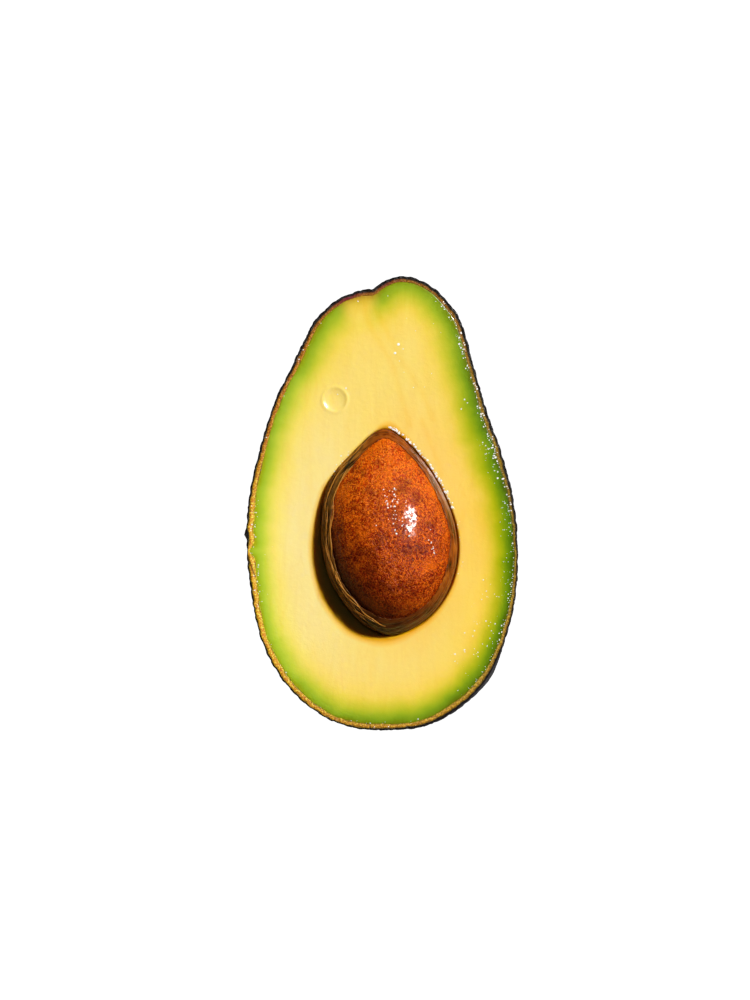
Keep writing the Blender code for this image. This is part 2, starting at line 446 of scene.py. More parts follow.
def shared_group(name: str, result: str, kind: str, **numbers: float) -> tuple[Graph, Any, Any]:
    """An empty node group with named sockets: Place, some numbers, and one result.

    Args:
        name: The group's name.
        result: The name of its result.
        kind: The kind of its result, Float or Vector.
        numbers: Its other inputs, with their usual values.

    Returns:
        The group's graph, its input node's outputs and its result's socket.
    """
    tree = bpy.data.node_groups.new(name, "ShaderNodeTree")
    inputs = [(key, "INPUT", "Float") for key in numbers]
    for label, way, what in [("Place", "INPUT", "Vector"), *inputs, (result, "OUTPUT", kind)]:
        made = tree.interface.new_socket(name=label, in_out=way, socket_type="NodeSocket" + what)
        if label in numbers:
            made.default_value = numbers[label]
    source, sink = tree.nodes.new("NodeGroupInput"), tree.nodes.new("NodeGroupOutput")
    return Graph(tree), source.outputs, sink.inputs[0]


class Effects:
    """The effects that several materials share, each a node group that is built once."""

    @cached_property
    def mottle(self) -> bpy.types.NodeTree:
        """Blotches: fractal noise whose contrast is stretched round the middle.

        Returns:
            The group's node tree.
        """
        graph, given, out = shared_group("mottle", "Mask", "Float", Scale=500, Detail=3, Contrast=1)
        noise = graph.noise(given["Place"], given["Scale"], given["Detail"])
        off = graph.times(graph.math("SUBTRACT", noise, 0.5), given["Contrast"])
        graph.put(out, graph.math("ADD", off, 0.5, clamp=True))
        return graph.tree

    @cached_property
    def fibres(self) -> bpy.types.NodeTree:
        """Fine curled hairs: the thin lines where a warped noise passes through its middle.

        Returns:
            The group's node tree.
        """
        graph, given, out = shared_group("fibres", "Mask", "Float", Scale=900, Curl=1.5, Width=0.08)
        noise = graph.noise(given["Place"], given["Scale"], 2.0, given["Curl"])
        away = graph.math("ABSOLUTE", graph.math("SUBTRACT", noise, 0.5))
        near = graph.math("DIVIDE", away, given["Width"])
        graph.put(out, graph.math("SUBTRACT", 1.0, near, clamp=True))
        return graph.tree

    @cached_property
    def felt(self) -> bpy.types.NodeTree:
        """Short straight hairs that cross each other: three noises, each stretched along its own direction,
        of which the strongest counts at every place.

        Returns:
            The group's node tree.
        """
        graph, given, out = shared_group("felt", "Mask", "Float", Scale=4000, Sharpness=3.0)
        strongest: Output = 0.0
        for number, turn in enumerate((25.0, 82.0, 146.0)):
            lay = {"Rotation": (0.0, 0.0, math.radians(turn)), "Location": (0.1 * number, 0, 0)}
            lay = {"Vector": given["Place"], **lay, "Scale": (1.0, 4.0, 1.5)}
            stretched = graph.add("Mapping", lay, vector_type="TEXTURE").outputs[0]
            noise = graph.noise(stretched, given["Scale"], 1.0, 0.5)
            strongest = graph.math("MAXIMUM", strongest, noise)
        off = graph.times(graph.math("SUBTRACT", strongest, 0.58), given["Sharpness"])
        graph.put(out, graph.math("ADD", off, 0.5, clamp=True))
        return graph.tree

    @cached_property
    def wet_skin(self) -> bpy.types.NodeTree:
        """The uneven film of moisture on a surface: two sizes of soft noise as a bump.

        Returns:
            The group's node tree.
        """
        numbers = {"Scale": 600, "Strength": 0.3, "Depth": 0.0002}
        graph, given, out = shared_group("wet_skin", "Normal", "Vector", **numbers)
        broad = graph.noise(given["Place"], given["Scale"], 2.0)
        fine = graph.noise(given["Place"], graph.times(given["Scale"], 3.7), 1.0)
        height = graph.math("MULTIPLY_ADD", fine, 0.35, broad)
        graph.put(out, graph.bump(height, given["Strength"], given["Depth"]))
        return graph.tree


@dataclass(frozen=True)
class Finish:
    """A material with one Principled shader, whose even values are set on the shader itself."""

    name: str
    effects: Effects
    even: dict[str, Any] = field(default_factory=dict)

    def paint(self, graph: Graph, place: Output) -> dict[str, Output]:
        """The shader's values that vary with the place on the piece; an even finish has none."""
        return {}

    def make(self) -> bpy.types.Material:
        """Builds the material.

        Returns:
            The material.
        """
        material = bpy.data.materials.new(self.name)
        material.use_nodes = True
        shader = material.node_tree.nodes["Principled BSDF"]
        graph = Graph(material.node_tree)
        varied = self.paint(graph, graph.add("TexCoord").outputs["Object"])
        for key, value in {**self.even, **varied}.items():
            graph.put(shader.inputs[key], value)
        return material


class PeelFinish(Finish):
    """Dark pebbled skin outside, and a cut rim of black, tan and green layers.

    Its marks are ply (0 on the skin to 1 where the flesh starts), relief (the pebbles' height), and, from
    0 to 1, shade (where the rim is a dark olive), crust, rust, crease, blush and gloss.
    """

    pale_rim = {
        0.0: "040100", 0.14: "0A0400", 0.20: "403000", 0.27: "8E7C06", 0.37: "C69E14", 0.52: "E2BA50",
        0.76: "EECC6C", 0.92: "D4B840", 0.98: "B8B01C", 1.0: "ACBA16",
    }  # fmt: skip
    dark_rim = {
        0.0: "030201", 0.20: "080502", 0.28: "30240A", 0.38: "645206", 0.60: "8C7C0E", 0.8: "74700A",
        0.92: "4A5A02", 1.0: "507002",
    }  # fmt: skip
    crumbs = {0.15: "4A2E02", 0.42: "A8802A", 0.6: "D0AE50", 0.78: "FFF8C8"}
    pebbles = {0.0: "050304", 0.35: "0E090A", 0.75: "1C1414", 1.0: "30241C"}

    def paint(self, graph: Graph, place: Output) -> dict[str, Output]:
        """The rim's layers follow ply, roughened by blotches; the skin's colour follows the relief.

        Args:
            graph: The material's graph.
            place: Places in the piece's own space.

        Returns:
            Shader input names to their values.
        """
        mottle = self.effects.mottle
        ply, shade = graph.mark("ply"), graph.mark("shade")
        grain = graph.effect(mottle, place, 2600, 3, 2.2)
        blotch = graph.effect(mottle, place, 420, 3, 1.8)
        ragged = graph.math("MULTIPLY_ADD", graph.math("SUBTRACT", blotch, 0.5), 0.22, ply)
        ragged = graph.math("SUBTRACT", ragged, graph.times(graph.mark("crust"), 0.28))
        rim = graph.mix(shade, graph.ramp(ragged, self.pale_rim), graph.ramp(ragged, self.dark_rim))
        inside = graph.times(graph.span(ragged, 0.22, 0.34), graph.span(ragged, 1.04, 0.96))
        inside = graph.times(inside, graph.span(shade, 0.0, 1.0, (0.75, 0.5)))
        rim = graph.mix(inside, rim, graph.ramp(grain, self.crumbs), Blend.OVERLAY)
        rim = graph.glaze(rim, "DBA8A0", graph.mark("rust"), blend=Blend.MULTIPLY)
        seam = graph.times(graph.span(ragged, 0.84, 0.92), graph.span(ragged, 1.0, 0.93))
        rim = graph.glaze(rim, "5E3008", seam, graph.span(blotch, 0.45, 0.65), 0.7)
        rim = graph.glaze(rim, "3A1C02", graph.mark("crease"), 0.9)
        burgundy = graph.times(graph.span(ragged, 0.16, 0.26), graph.span(ragged, 0.95, 0.6))
        rim = graph.glaze(rim, "6E1A22", graph.mark("blush"), burgundy)
        relief = graph.math("ADD", graph.mark("relief"), graph.times(grain, 0.25))
        leaf = graph.effect(mottle, place, 130, 4, 2.6)
        skin = graph.glaze(graph.ramp(relief, self.pebbles), "2A1420", leaf, 0.35)
        fine = graph.math("MULTIPLY_ADD", blotch, 0.5, grain)
        return {
            "Base Color": graph.mix(graph.span(ply, 0.02, 0.10), skin, rim),
            "Roughness": graph.math("MULTIPLY_ADD", grain, 0.2, 0.26),
            "Coat Weight": graph.span(graph.mark("gloss"), 0.0, 1.0, (0.1, 1.0)),
            "Normal": graph.bump(fine, 0.55, 0.12 * MM),
        }


class FleshFinish(Finish):
    """Moist flesh: green under the peel, through yellow to cream, with faint veins.

    Its marks are rind (millimetres from the peel) and, from 0 to 1, shade, scar, gold, warm and vein, and one
    more for the painted shadow that the stone casts on the flesh.
    """

    pale_side = {
        0: "B2B41A", 0.025: "AABE1C", 0.05625: "AECA30", 0.0875: "B6D03A", 0.1187: "C0D540", 0.15: "CCDA48",
        0.1875: "D8DE50", 0.2313: "E6E25E", 0.2938: "F2E66E", 0.3563: "FCE87A", 0.4375: "FFEA8A",
        0.5625: "FFE898", 0.75: "FFE8A0",
    }  # fmt: skip
    dark_side = {
        0: "4E6200", 0.03125: "4C6C00", 0.05: "587E00", 0.075: "638C00", 0.1: "709600", 0.125: "80A000",
        0.1562: "92AB00", 0.1938: "A7B500", 0.2437: "BBBE0C", 0.3: "D1C728", 0.3625: "E4D044",
        0.4375: "F3D65C", 0.55: "FEDC70", 0.6875: "FFDF7C", 0.9375: "FFE288",
    }  # fmt: skip
    by_stem = {0: "B88E3C", 0.03: "CCAC3E", 0.08: "E0C850", 0.16: "F0D864", 0.3: "FAE27A", 1: "FFE886"}
    # Painted shadow of the stone: from the lit flesh through a warm fringe to a dark core beside the seed
    # coat.
    shadow_tint_ramp = {
        0.0: "FFFFFF", 0.056: "FFF6E0", 0.14: "FDE6B0", 0.19: "F2D47C", 0.235: "ECC63E", 0.28: "E2C22B",
        0.55: "B6AC2C", 1.0: "789A2E",
    }  # fmt: skip
    ramp_depth = 16.0  # millimetres of flesh from one end of the ramps to the other

    def paint(self, graph: Graph, place: Output) -> dict[str, Output]:
        """The green fades with the distance from the peel; tints, grain and the painted shadow of the stone
        are then multiplied in.

        Args:
            graph: The material's graph.
            place: Places in the piece's own space.

        Returns:
            Shader input names to their values.
        """
        mottle = self.effects.mottle
        cloud = graph.effect(mottle, place, 170, 4, 1.6)
        speck = graph.effect(mottle, place, 1500, 3, 1.4)
        off = graph.math("MULTIPLY_ADD", graph.math("SUBTRACT", cloud, 0.5), 1.5, graph.mark("rind"))
        depth = graph.math("DIVIDE", off, self.ramp_depth)
        pale, dark = graph.ramp(depth, self.pale_side), graph.ramp(depth, self.dark_side)
        skin = graph.mix(graph.mark("shade"), pale, dark)
        skin = graph.mix(graph.mark("scar"), skin, graph.ramp(depth, self.by_stem))
        along = graph.stretch(place, (1.0, 0.16, 1.0))
        veins = graph.effect(self.effects.fibres, along, 330, 0.8, 0.05)
        grain = graph.effect(mottle, along, 420, 4, 2.4)
        for code, *shares in (
            ("FFFAD6", graph.mark("gold")),
            ("E8BC3C", veins, cloud, 0.10),
            ("FFC850", graph.mark("warm"), 0.3),
            ("FFECA0", graph.mark("vein"), 0.3),
            ("F0DCA0", speck, 0.06),
            ("FFE690", grain, 0.16),
        ):
            skin = graph.glaze(skin, code, *shares, blend=Blend.MULTIPLY)
        # Painted shadow: the stone's cast shadow and its warm fringe are multiplied into the flesh's colour.
        skin = graph.mix(1.0, skin, graph.ramp(graph.mark("painted_shadow"), self.shadow_tint_ramp), Blend.MULTIPLY)
        return {
            "Base Color": skin,
            "Roughness": graph.math("MULTIPLY_ADD", cloud, 0.10, 0.18),
            "Normal": graph.effect(self.effects.wet_skin, place, 900, 0.35, 0.12 * MM),
        }


class StoneFinish(Finish):
    """Polished orange-brown stone with a felt of fine golden and dark red flecks.

    Its marks, from 0 to 1, are tip (the brighter end), wet, and one for painted shade on the lower side, away
    from the lamp.
    """

    bright_end = {0.1: "7C1000", 0.5: "B02E00", 0.9: "DC5200"}
    dull_end = {0.1: "480400", 0.5: "7C1400", 0.9: "A62C00"}

    def paint(self, graph: Graph, place: Output) -> dict[str, Output]:
        """Curled hairs lie over flecks and blotches; fine dents and flecks break the wet shine.

        Args:
            graph: The material's graph.
            place: Places in the piece's own space.

        Returns:
            Shader input names to their values.
        """
        mottle, fibres = self.effects.mottle, self.effects.fibres
        blotch = graph.effect(mottle, place, 240, 4, 2.4)
        fleck = graph.effect(mottle, place, 1900, 3, 2.4)
        felt = graph.effect(self.effects.felt, place, 4600, 4.6)
        curls = graph.effect(fibres, place, 640, 1.8, 0.055)
        wisps = graph.effect(fibres, place, 980, 1.4, 0.06)
        tip = graph.mark("tip")
        skin = graph.mix(tip, graph.ramp(fleck, self.dull_end), graph.ramp(fleck, self.bright_end))
        hairs = graph.math("MAXIMUM", curls, graph.times(wisps, 0.8))
        hairs = graph.times(hairs, graph.span(felt, 0.1, 0.8, (0.1, 1.25)))
        skin = graph.mix(hairs, skin, graph.mix(tip, tint("F2700E"), tint("FF8C18")))
        skin = graph.glaze(skin, "561000", graph.span(blotch, 0.5, 0.1), 0.5)
        skin = graph.glaze(skin, "F47004", graph.span(blotch, 0.55, 0.9), 0.35)
        # Painted shade: the lower side, away from the lamp, is darkened.
        skin = graph.glaze(skin, "2A0802", graph.mark("painted_shade"), 0.85)
        dent = graph.effect(mottle, graph.stretch(place, (1.0, 0.4, 1.0)), 620, 3, 2.0)
        broken = graph.span(dent, 0.25, 0.6, (0.3, 1.0))
        broken = graph.times(broken, graph.span(fleck, 0.42, 0.62, (0.08, 1.0)))
        height = graph.math("MULTIPLY_ADD", hairs, 0.35, graph.times(fleck, 1.5))
        height = graph.math("MULTIPLY_ADD", dent, 2.3, height)
        return {
            "Base Color": skin,
            "Roughness": graph.math("MULTIPLY_ADD", fleck, 0.10, 0.26),
            "Coat Weight": graph.times(graph.mark("wet"), broken),
            "Normal": graph.bump(height, 0.5, 0.19 * MM),
        }


class CoatFinish(Finish):
    """Torn seed coat: tan, papery fibres that darken to brown where they cling wet to the stone.

    Its marks are strand (more than 1 on loose fibres) and, from 0 to 1, dry, wet and one for painted shade on
    the lower end, away from the lamp.
    """

    moist = {0.1: "2A0A00", 0.45: "5C1E00", 0.7: "7C3402", 0.95: "A45810"}
    papery = {0.1: "060100", 0.45: "160800", 0.7: "381800", 0.95: "6C3606"}

    def paint(self, graph: Graph, place: Output) -> dict[str, Output]:
        """Pale strands, drawn out round the stone, lie over brown blotches.

        Args:
            graph: The material's graph.
            place: Places in the piece's own space.

        Returns:
            Shader input names to their values.
        """
        dry, round_stone = graph.mark("dry"), graph.stretch(place, (0.35, 0.35, 3.2))
        strand = graph.effect(self.effects.fibres, round_stone, 420, 0.6, 0.10)
        blotch = graph.effect(self.effects.mottle, place, 300, 4, 2.2)
        skin = graph.mix(dry, graph.ramp(blotch, self.moist), graph.ramp(blotch, self.papery))
        pale = graph.mix(dry, tint("B05A14"), tint("E09436"))
        skin = graph.mix(graph.times(strand, 0.5), skin, pale)
        skin = graph.mix(graph.math("MULTIPLY", graph.mark("strand"), 0.32, clamp=True), skin, pale)
        height = graph.math("MULTIPLY_ADD", strand, 0.8, blotch)
        return {
            # Painted shade: the lower end, away from the lamp, is darkened.
            "Base Color": graph.glaze(skin, "2C1606", graph.mark("painted_shade"), 0.8),
            "Roughness": graph.math("MULTIPLY_ADD", blotch, 0.2, 0.25),
            "Coat Weight": graph.mark("wet"),
            "Normal": graph.bump(height, 0.7, 0.15 * MM),
        }


# --- The fruit's forms -------------------------------------------------------------------------------
# The ends of the fruit's cross-sections on the outline of the cut, from stem to blossom end: the right
# end's place across and along, then the left end's, in shares of the half width and half length.
RIBS = (
    (-0.130, 0.945, -0.130, 0.945), (-0.018, 0.973, -0.220, 0.925), (0.146, 1.000, -0.317, 0.902),
    (0.320, 0.971, -0.412, 0.858), (0.470, 0.898, -0.512, 0.789), (0.585, 0.793, -0.585, 0.702),
    (0.671, 0.615, -0.677, 0.589), (0.762, 0.425, -0.793, 0.444), (0.872, 0.236, -0.902, 0.236),
    (0.963, 0.033, -0.976, 0.033), (1.000, -0.191, -0.994, -0.191), (0.980, -0.410, -0.957, -0.409),
    (0.897, -0.604, -0.878, -0.611), (0.750, -0.781, -0.713, -0.785), (0.528, -0.907, -0.479, -0.914),
    (0.299, -0.974, -0.226, -0.980), (0.037, -0.992, 0.037, -0.992),
)  # fmt: skip


@dataclass(frozen=True)
class FruitForm:
    """The outer form of the half fruit: ribs that hang below the outline of the cut."""

    half_width: float
    half_length: float
    cut_height: float
    roundness: float = 0.985
    neck_fullness: float = 0.07
    hub: Plan = (0.0, -5.0 * MM)  # the middle of the resting spot
    swell: float = 0.8 * MM
    swell_depth: float = 6.0 * MM
    swell_centre: Plan = (0.0, -12.0 * MM)
    swell_direction: float = math.radians(-62.0)
    swell_spread: float = math.radians(58.0)
    stem_dent: Plan = (-2.3, 52.7)  # in millimetres
    dent_width: float = 1.9  # in millimetres
    dent_depth: float = 0.95 * MM

    def sides(self, share: Array) -> tuple[Array, Array]:
        """The right and left ends of the ribs at these shares of the way from stem to blossom end."""
        ends = np.array(RIBS).reshape(-1, 2, 2) * np.array([self.half_width, self.half_length])
        return smooth_through(ends[:, 0], share), smooth_through(ends[:, 1], share)

    def outline(self, count: int) -> Array:
        """Points evenly spaced along the outline of the cut, anticlockwise from its rightmost side.

        Args:
            count: How many points there are.

        Returns:
            One row of x and y for each point.
        """
        right, left = self.sides(np.linspace(0.0, 1.0, 1500))
        loop = np.concatenate([right[::-1], left[1:]])
        loop = np.roll(loop[:-1], -int(np.argmax(loop[:-1, 0])), axis=0)
        loop = np.concatenate([loop, loop[:1]])
        run = np.concatenate([[0.0], np.cumsum(np.linalg.norm(np.diff(loop, axis=0), axis=1))])
        even = np.linspace(0.0, run[-1], count, endpoint=False)
        line = np.stack([np.interp(even, run, loop[:, axis]) for axis in (0, 1)], axis=1)
        dent = patch(line, self.stem_dent, self.dent_width)
        return line + inward(line) * (self.dent_depth * dent)[:, None]

    def depth(self, plan: Array) -> Array:
        """How deep the belly is below the cut at places in plan.

        The rib through each place is found by halving: a place lies stemwards of a rib's chord, or not.
        Along the chord the depth is half an ellipse.

        Args:
            plan: Places in plan.

        Returns:
            One depth for each place.
        """
        low, high = np.full(plan.shape[:-1], 1e-4), np.full(plan.shape[:-1], 1 - 1e-4)
        for _ in range(24):
            middle = (low + high) / 2
            right, left = self.sides(middle)
            chord, off = right - left, plan - (right + left) / 2
            stemwards = chord[..., 0] * off[..., 1] - chord[..., 1] * off[..., 0] > 0
            high, low = np.where(stemwards, middle, high), np.where(stemwards, low, middle)
        right, left = self.sides((low + high) / 2)
        half, centre = (right - left) / 2, (right + left) / 2
        length = np.maximum(np.linalg.norm(half, axis=-1), 1e-6)
        along = np.einsum("...i,...i->...", plan - centre, half) / length**2
        fullness = self.roundness * (1 + self.neck_fullness * centre[..., 1] / self.half_length)
        return fullness * length * np.sqrt(np.clip(1 - along**2, 0, 1))

    def belly(self, around: int, down: int) -> Array:
        """The outer surface as rings, from the hub of the resting spot up to the cut's outline.

        Each ring is the outline shrunk towards the hub by a cosine, dropped to the belly's depth, then
        pushed outwards where the belly swells.

        Args:
            around: How many points each ring has.
            down: How many rings there are.

        Returns:
            Places, shaped (rings, points, 3).
        """
        rise = np.linspace(0.0, 1.0, down) * math.pi / 2
        hub = np.array(self.hub)
        plan = hub + (self.outline(around) - hub)[None] * np.sin(rise)[:, None, None]
        depth = self.depth(plan)
        depth[-1] = 0.0
        away = plan - np.array(self.swell_centre)
        direction = np.arctan2(away[..., 1], away[..., 0])
        off = np.clip(turn_between(direction, self.swell_direction) / self.swell_spread, -1, 1)
        below = depth / self.swell_depth
        push = self.swell * np.cos(off * math.pi / 2) ** 2 * below * np.exp(1 - below)
        away = away / np.maximum(np.linalg.norm(away, axis=-1, keepdims=True), MM)
        plan = plan + away * push[..., None]
        return np.concatenate([plan, (self.cut_height - depth)[..., None]], axis=-1)

    def outward(self, belly: Array) -> Array:
        """Unit directions out of the belly: downwards at the hub and level along the cut's outline.

        Args:
            belly: The rings of the outer surface.

        Returns:
            One direction for each place.
        """
        round_ring = np.roll(belly, -1, axis=1) - np.roll(belly, 1, axis=1)
        normal = np.cross(round_ring, np.gradient(belly, axis=0))
        normal = normal / np.maximum(np.linalg.norm(normal, axis=-1, keepdims=True), 1e-12)
        middle = np.array([*self.hub, self.cut_height])
        normal *= np.where(np.einsum("...i,...i->...", normal, belly - middle) < 0, -1, 1)[..., None]
        normal[0] = (0, 0, -1)
        normal[-1] = np.pad(-inward(belly[-1]), ((0, 0), (0, 1)))
        return normal


@dataclass(frozen=True)
class StoneForm:
    """The stone: an egg, lopsided like the real one, that lies along Y with its tip at the stem end.

    The tables hold its half widths on each side and its height, in shares of half_width and
    half_height, at even angles from the tip to the blunt end.
    """

    centre: Vector
    half_width: float
    half_length: float
    half_height: float
    right: tuple[float, ...] = (0.46, 0.60, 0.805, 0.995, 1.065, 1.03, 0.88)
    left: tuple[float, ...] = (0.50, 0.70, 0.99, 1.005, 0.97, 0.84, 0.69)
    crown: tuple[float, ...] = (0.41, 0.53, 0.67, 0.80, 0.90, 0.94, 0.82)
    nod: float = -1.3 * MM  # how far the tip bends sideways

    def surface(self, unit: Array, grow: float) -> Array:
        """Maps points of a unit sphere onto the egg, grown by a distance.

        The angle from the tip picks the half widths and height by a smooth curve through the tables.

        Args:
            unit: Points of the unit sphere.
            grow: How far the egg is grown.

        Returns:
            One place for each point.
        """
        share = np.arccos(np.clip(unit[..., 1], -1, 1)) / math.pi
        tables = (self.right, self.left, self.crown)
        right, left, crown = (smooth_through(np.array(table), share) for table in tables)
        x = unit[..., 0] * (self.half_width * np.where(unit[..., 0] > 0, right, left) + grow)
        y = unit[..., 1] * (self.half_length + grow)
        z = unit[..., 2] * (self.half_height * crown + grow)
        x += self.nod * np.maximum(unit[..., 1], 0) ** 4
        return np.stack([x, y, z], axis=-1) + np.array(self.centre)

    def closeness(self, points: Array) -> Array:
        """How far places are from the egg: their size in its own measure, less 1, in half widths.

        Args:
            points: Places, with x, y and z on the last axis.

        Returns:
            One distance for each place, negative inside the egg.
        """
        away = points - np.array(self.centre)
        share = np.arccos(np.clip(away[..., 1] / self.half_length, -1, 1)) / math.pi
        even = np.linspace(0, 1, len(self.crown))
        right, left, crown = (np.interp(share, even, table) for table in (self.right, self.left, self.crown))
        wide = away[..., 0] / (self.half_width * np.where(away[..., 0] > 0, right, left))
        tall = away[..., 2] / (self.half_height * crown)
        return (np.sqrt(wide**2 + tall**2 + (away[..., 1] / self.half_length) ** 2) - 1) * 15 * MM


# --- The pieces --------------------------------------------------------------------------------------
# Where the rim's width departs from the usual: bearing in degrees, millimetres, and spread in radians.
RIM_CHANGES = (
    (30, -0.10, 0.5), (-22, -0.45, 0.4), (-68, 0.30, 0.16),
    (192, 0.42, 0.6), (191.0, -1.25, 0.034), (196.5, 0.25, 0.04),
)  # fmt: skip


@dataclass
class Peel:
    """The peel: a pebbled outside, a layered rim and a plain inside."""

    form: FruitForm
    wall: float = 1.4 * MM
    around: int = 560
    down: int = 148
    rim_rows: int = 12
    inner_rows: int = 14
    pebble: float = 2.3 * MM
    pebble_height: float = 0.42 * MM
    shoulder: float = 0.8 * MM
    crease: tuple[Plan, Plan] = ((-32.7, -11.6), (-30.6, -17.6))  # a short fold, in millimetres

    def thickness(self, outline: Array) -> Array:
        """How wide the cut rim is round the outline: the wall's width with a few wide and narrow spots.

        Args:
            outline: Points of the cut's outline, in plan.

        Returns:
            One width for each point.
        """
        angle = np.arctan2(outline[:, 1] - self.form.hub[1], outline[:, 0] - self.form.hub[0])
        width = np.full(len(outline), self.wall)
        for bearing, change, spread in RIM_CHANGES:
            width += change * MM * bell(turn_between(angle, math.radians(bearing)), 0, spread)
        return width + 0.14 * MM * clouds(np.pad(outline, ((0, 0), (0, 1))), 3.0 * MM, 5)

    def relief(self, base: Array) -> Array:
        """The pebbles' height, from 0 to 1: domes between the cracks of cellular noise, in two sizes.

        Args:
            base: Places on the smooth outer surface.

        Returns:
            One height for each place.
        """
        warped = base + clouds(base, 6 * MM, 3, 2)[..., None] * 0.5 * MM
        near, next_near = cobbles(warped, self.pebble, 11)
        large = 0.55 * ease(next_near - near, 0.0, 0.5) + 0.45 * np.clip(1 - near**2, 0, 1)
        near, next_near = cobbles(warped, self.pebble * 0.45, 47)
        small = np.clip(1 - near**2, 0, 1) * ease(next_near - near, 0.0, 0.4)
        return np.clip(0.78 * large + 0.22 * small + 0.12 * clouds(base, 9 * MM, 8, 2), 0, 1)

    def from_crease(self, rows: Array) -> Array:
        """The distance in plan to the short fold below the notch, a straight line.

        Args:
            rows: Places, with x, y and z on the last axis.

        Returns:
            One distance for each place.
        """
        start, end = np.array(self.crease) * MM
        along = end - start
        share = np.clip((rows[..., :2] - start) @ along / (along @ along), 0, 1)
        return np.linalg.norm(rows[..., :2] - start - share[..., None] * along, axis=-1)

    def build(self, skin: bpy.types.Material) -> None:
        """Outer rings from the resting spot up, then rings across the rim, then inner rings down.

        Args:
            skin: The material.
        """
        base = self.form.belly(self.around, self.down)
        normal, up = self.form.outward(base), base[..., 2]
        relief = self.relief(base) + 1.6 * patch(base, KNOB_PEBBLE, 0.9)
        relief[0] = relief[0, 0]
        calm = ease(up, 0.0, 2.5 * MM) * (1 - 0.8 * patch(base, SLICK, 8) * ease(up, 20 * MM, 27 * MM))
        shoulder = patch(base, SLICK, 6) * bell(up, 26.5 * MM, 3.2 * MM)
        push = (relief - 0.55) * self.pebble_height * calm + self.shoulder * shoulder
        outer = base + normal * push[..., None]
        outer[..., 2] = np.maximum(outer[..., 2], 0.0)
        width = self.thickness(base[-1, :, :2])
        edge, inner_edge = outer[-1], base[-1] - normal[-1] * width[:, None]
        across = np.linspace(0, 1, self.rim_rows)[1:, None]
        rim = edge + (inner_edge - edge) * across[..., None]
        rim[..., 2] += clouds(rim, 0.9 * MM, 21, 2) * 0.07 * MM * np.sin(across * math.pi) + 0.02 * MM
        picks = np.unique(np.linspace(0, self.down - 2, self.inner_rows).astype(int))[::-1]
        inner = base[picks] - normal[picks] * width[:, None]
        inner[..., 2] = np.clip(inner[..., 2], self.wall, self.form.cut_height - 1.2 * MM)
        inner[-1] = (*self.form.hub, self.wall)
        rows = np.concatenate([outer, rim, inner])
        level = [0 * outer[..., 0], across + 0 * rim[..., 0], 0 * inner[..., 0] + 1]
        marks = {
            "ply": np.concatenate(level),
            "shade": by_bearing(rows, Around.OLIVE),
            "rust": by_bearing(rows, Around.RUST),
            "crust": by_bearing(rows, Around.CRUST) + 3.0 * patch(rows, KNOB, 0.8),
            "blush": patch(rows, (-8.6, 50.0), 3.4) + 0.5 * patch(rows, (1.0, 53.6), 3.2),
            "relief": np.concatenate([relief, relief[-1] + 0 * rim[..., 0], 0 * inner[..., 0]]),
            "gloss": patch(rows, SLICK, 7.0),
            "crease": bell(self.from_crease(rows), 0, 0.17 * MM),
        }
        add_piece("peel_half", rows, marks, skin, Slot.PEEL, "peel")


# Faint strokes in the flesh, from the stem towards the stone: across and along, in millimetres.
VEINS = (
    ((-4.3, 49.0), (-3.0, 43.5), (0.2, 37.5), (3.0, 32.5), (4.6, 26.0), (6.8, 19.0)),
    ((-1.8, 47.5), (1.6, 41.0), (4.4, 35.0), (9.0, 28.0), (12.2, 20.5)),
    ((9.6, 20.0), (12.3, 13.0), (14.4, 7.0)),
)


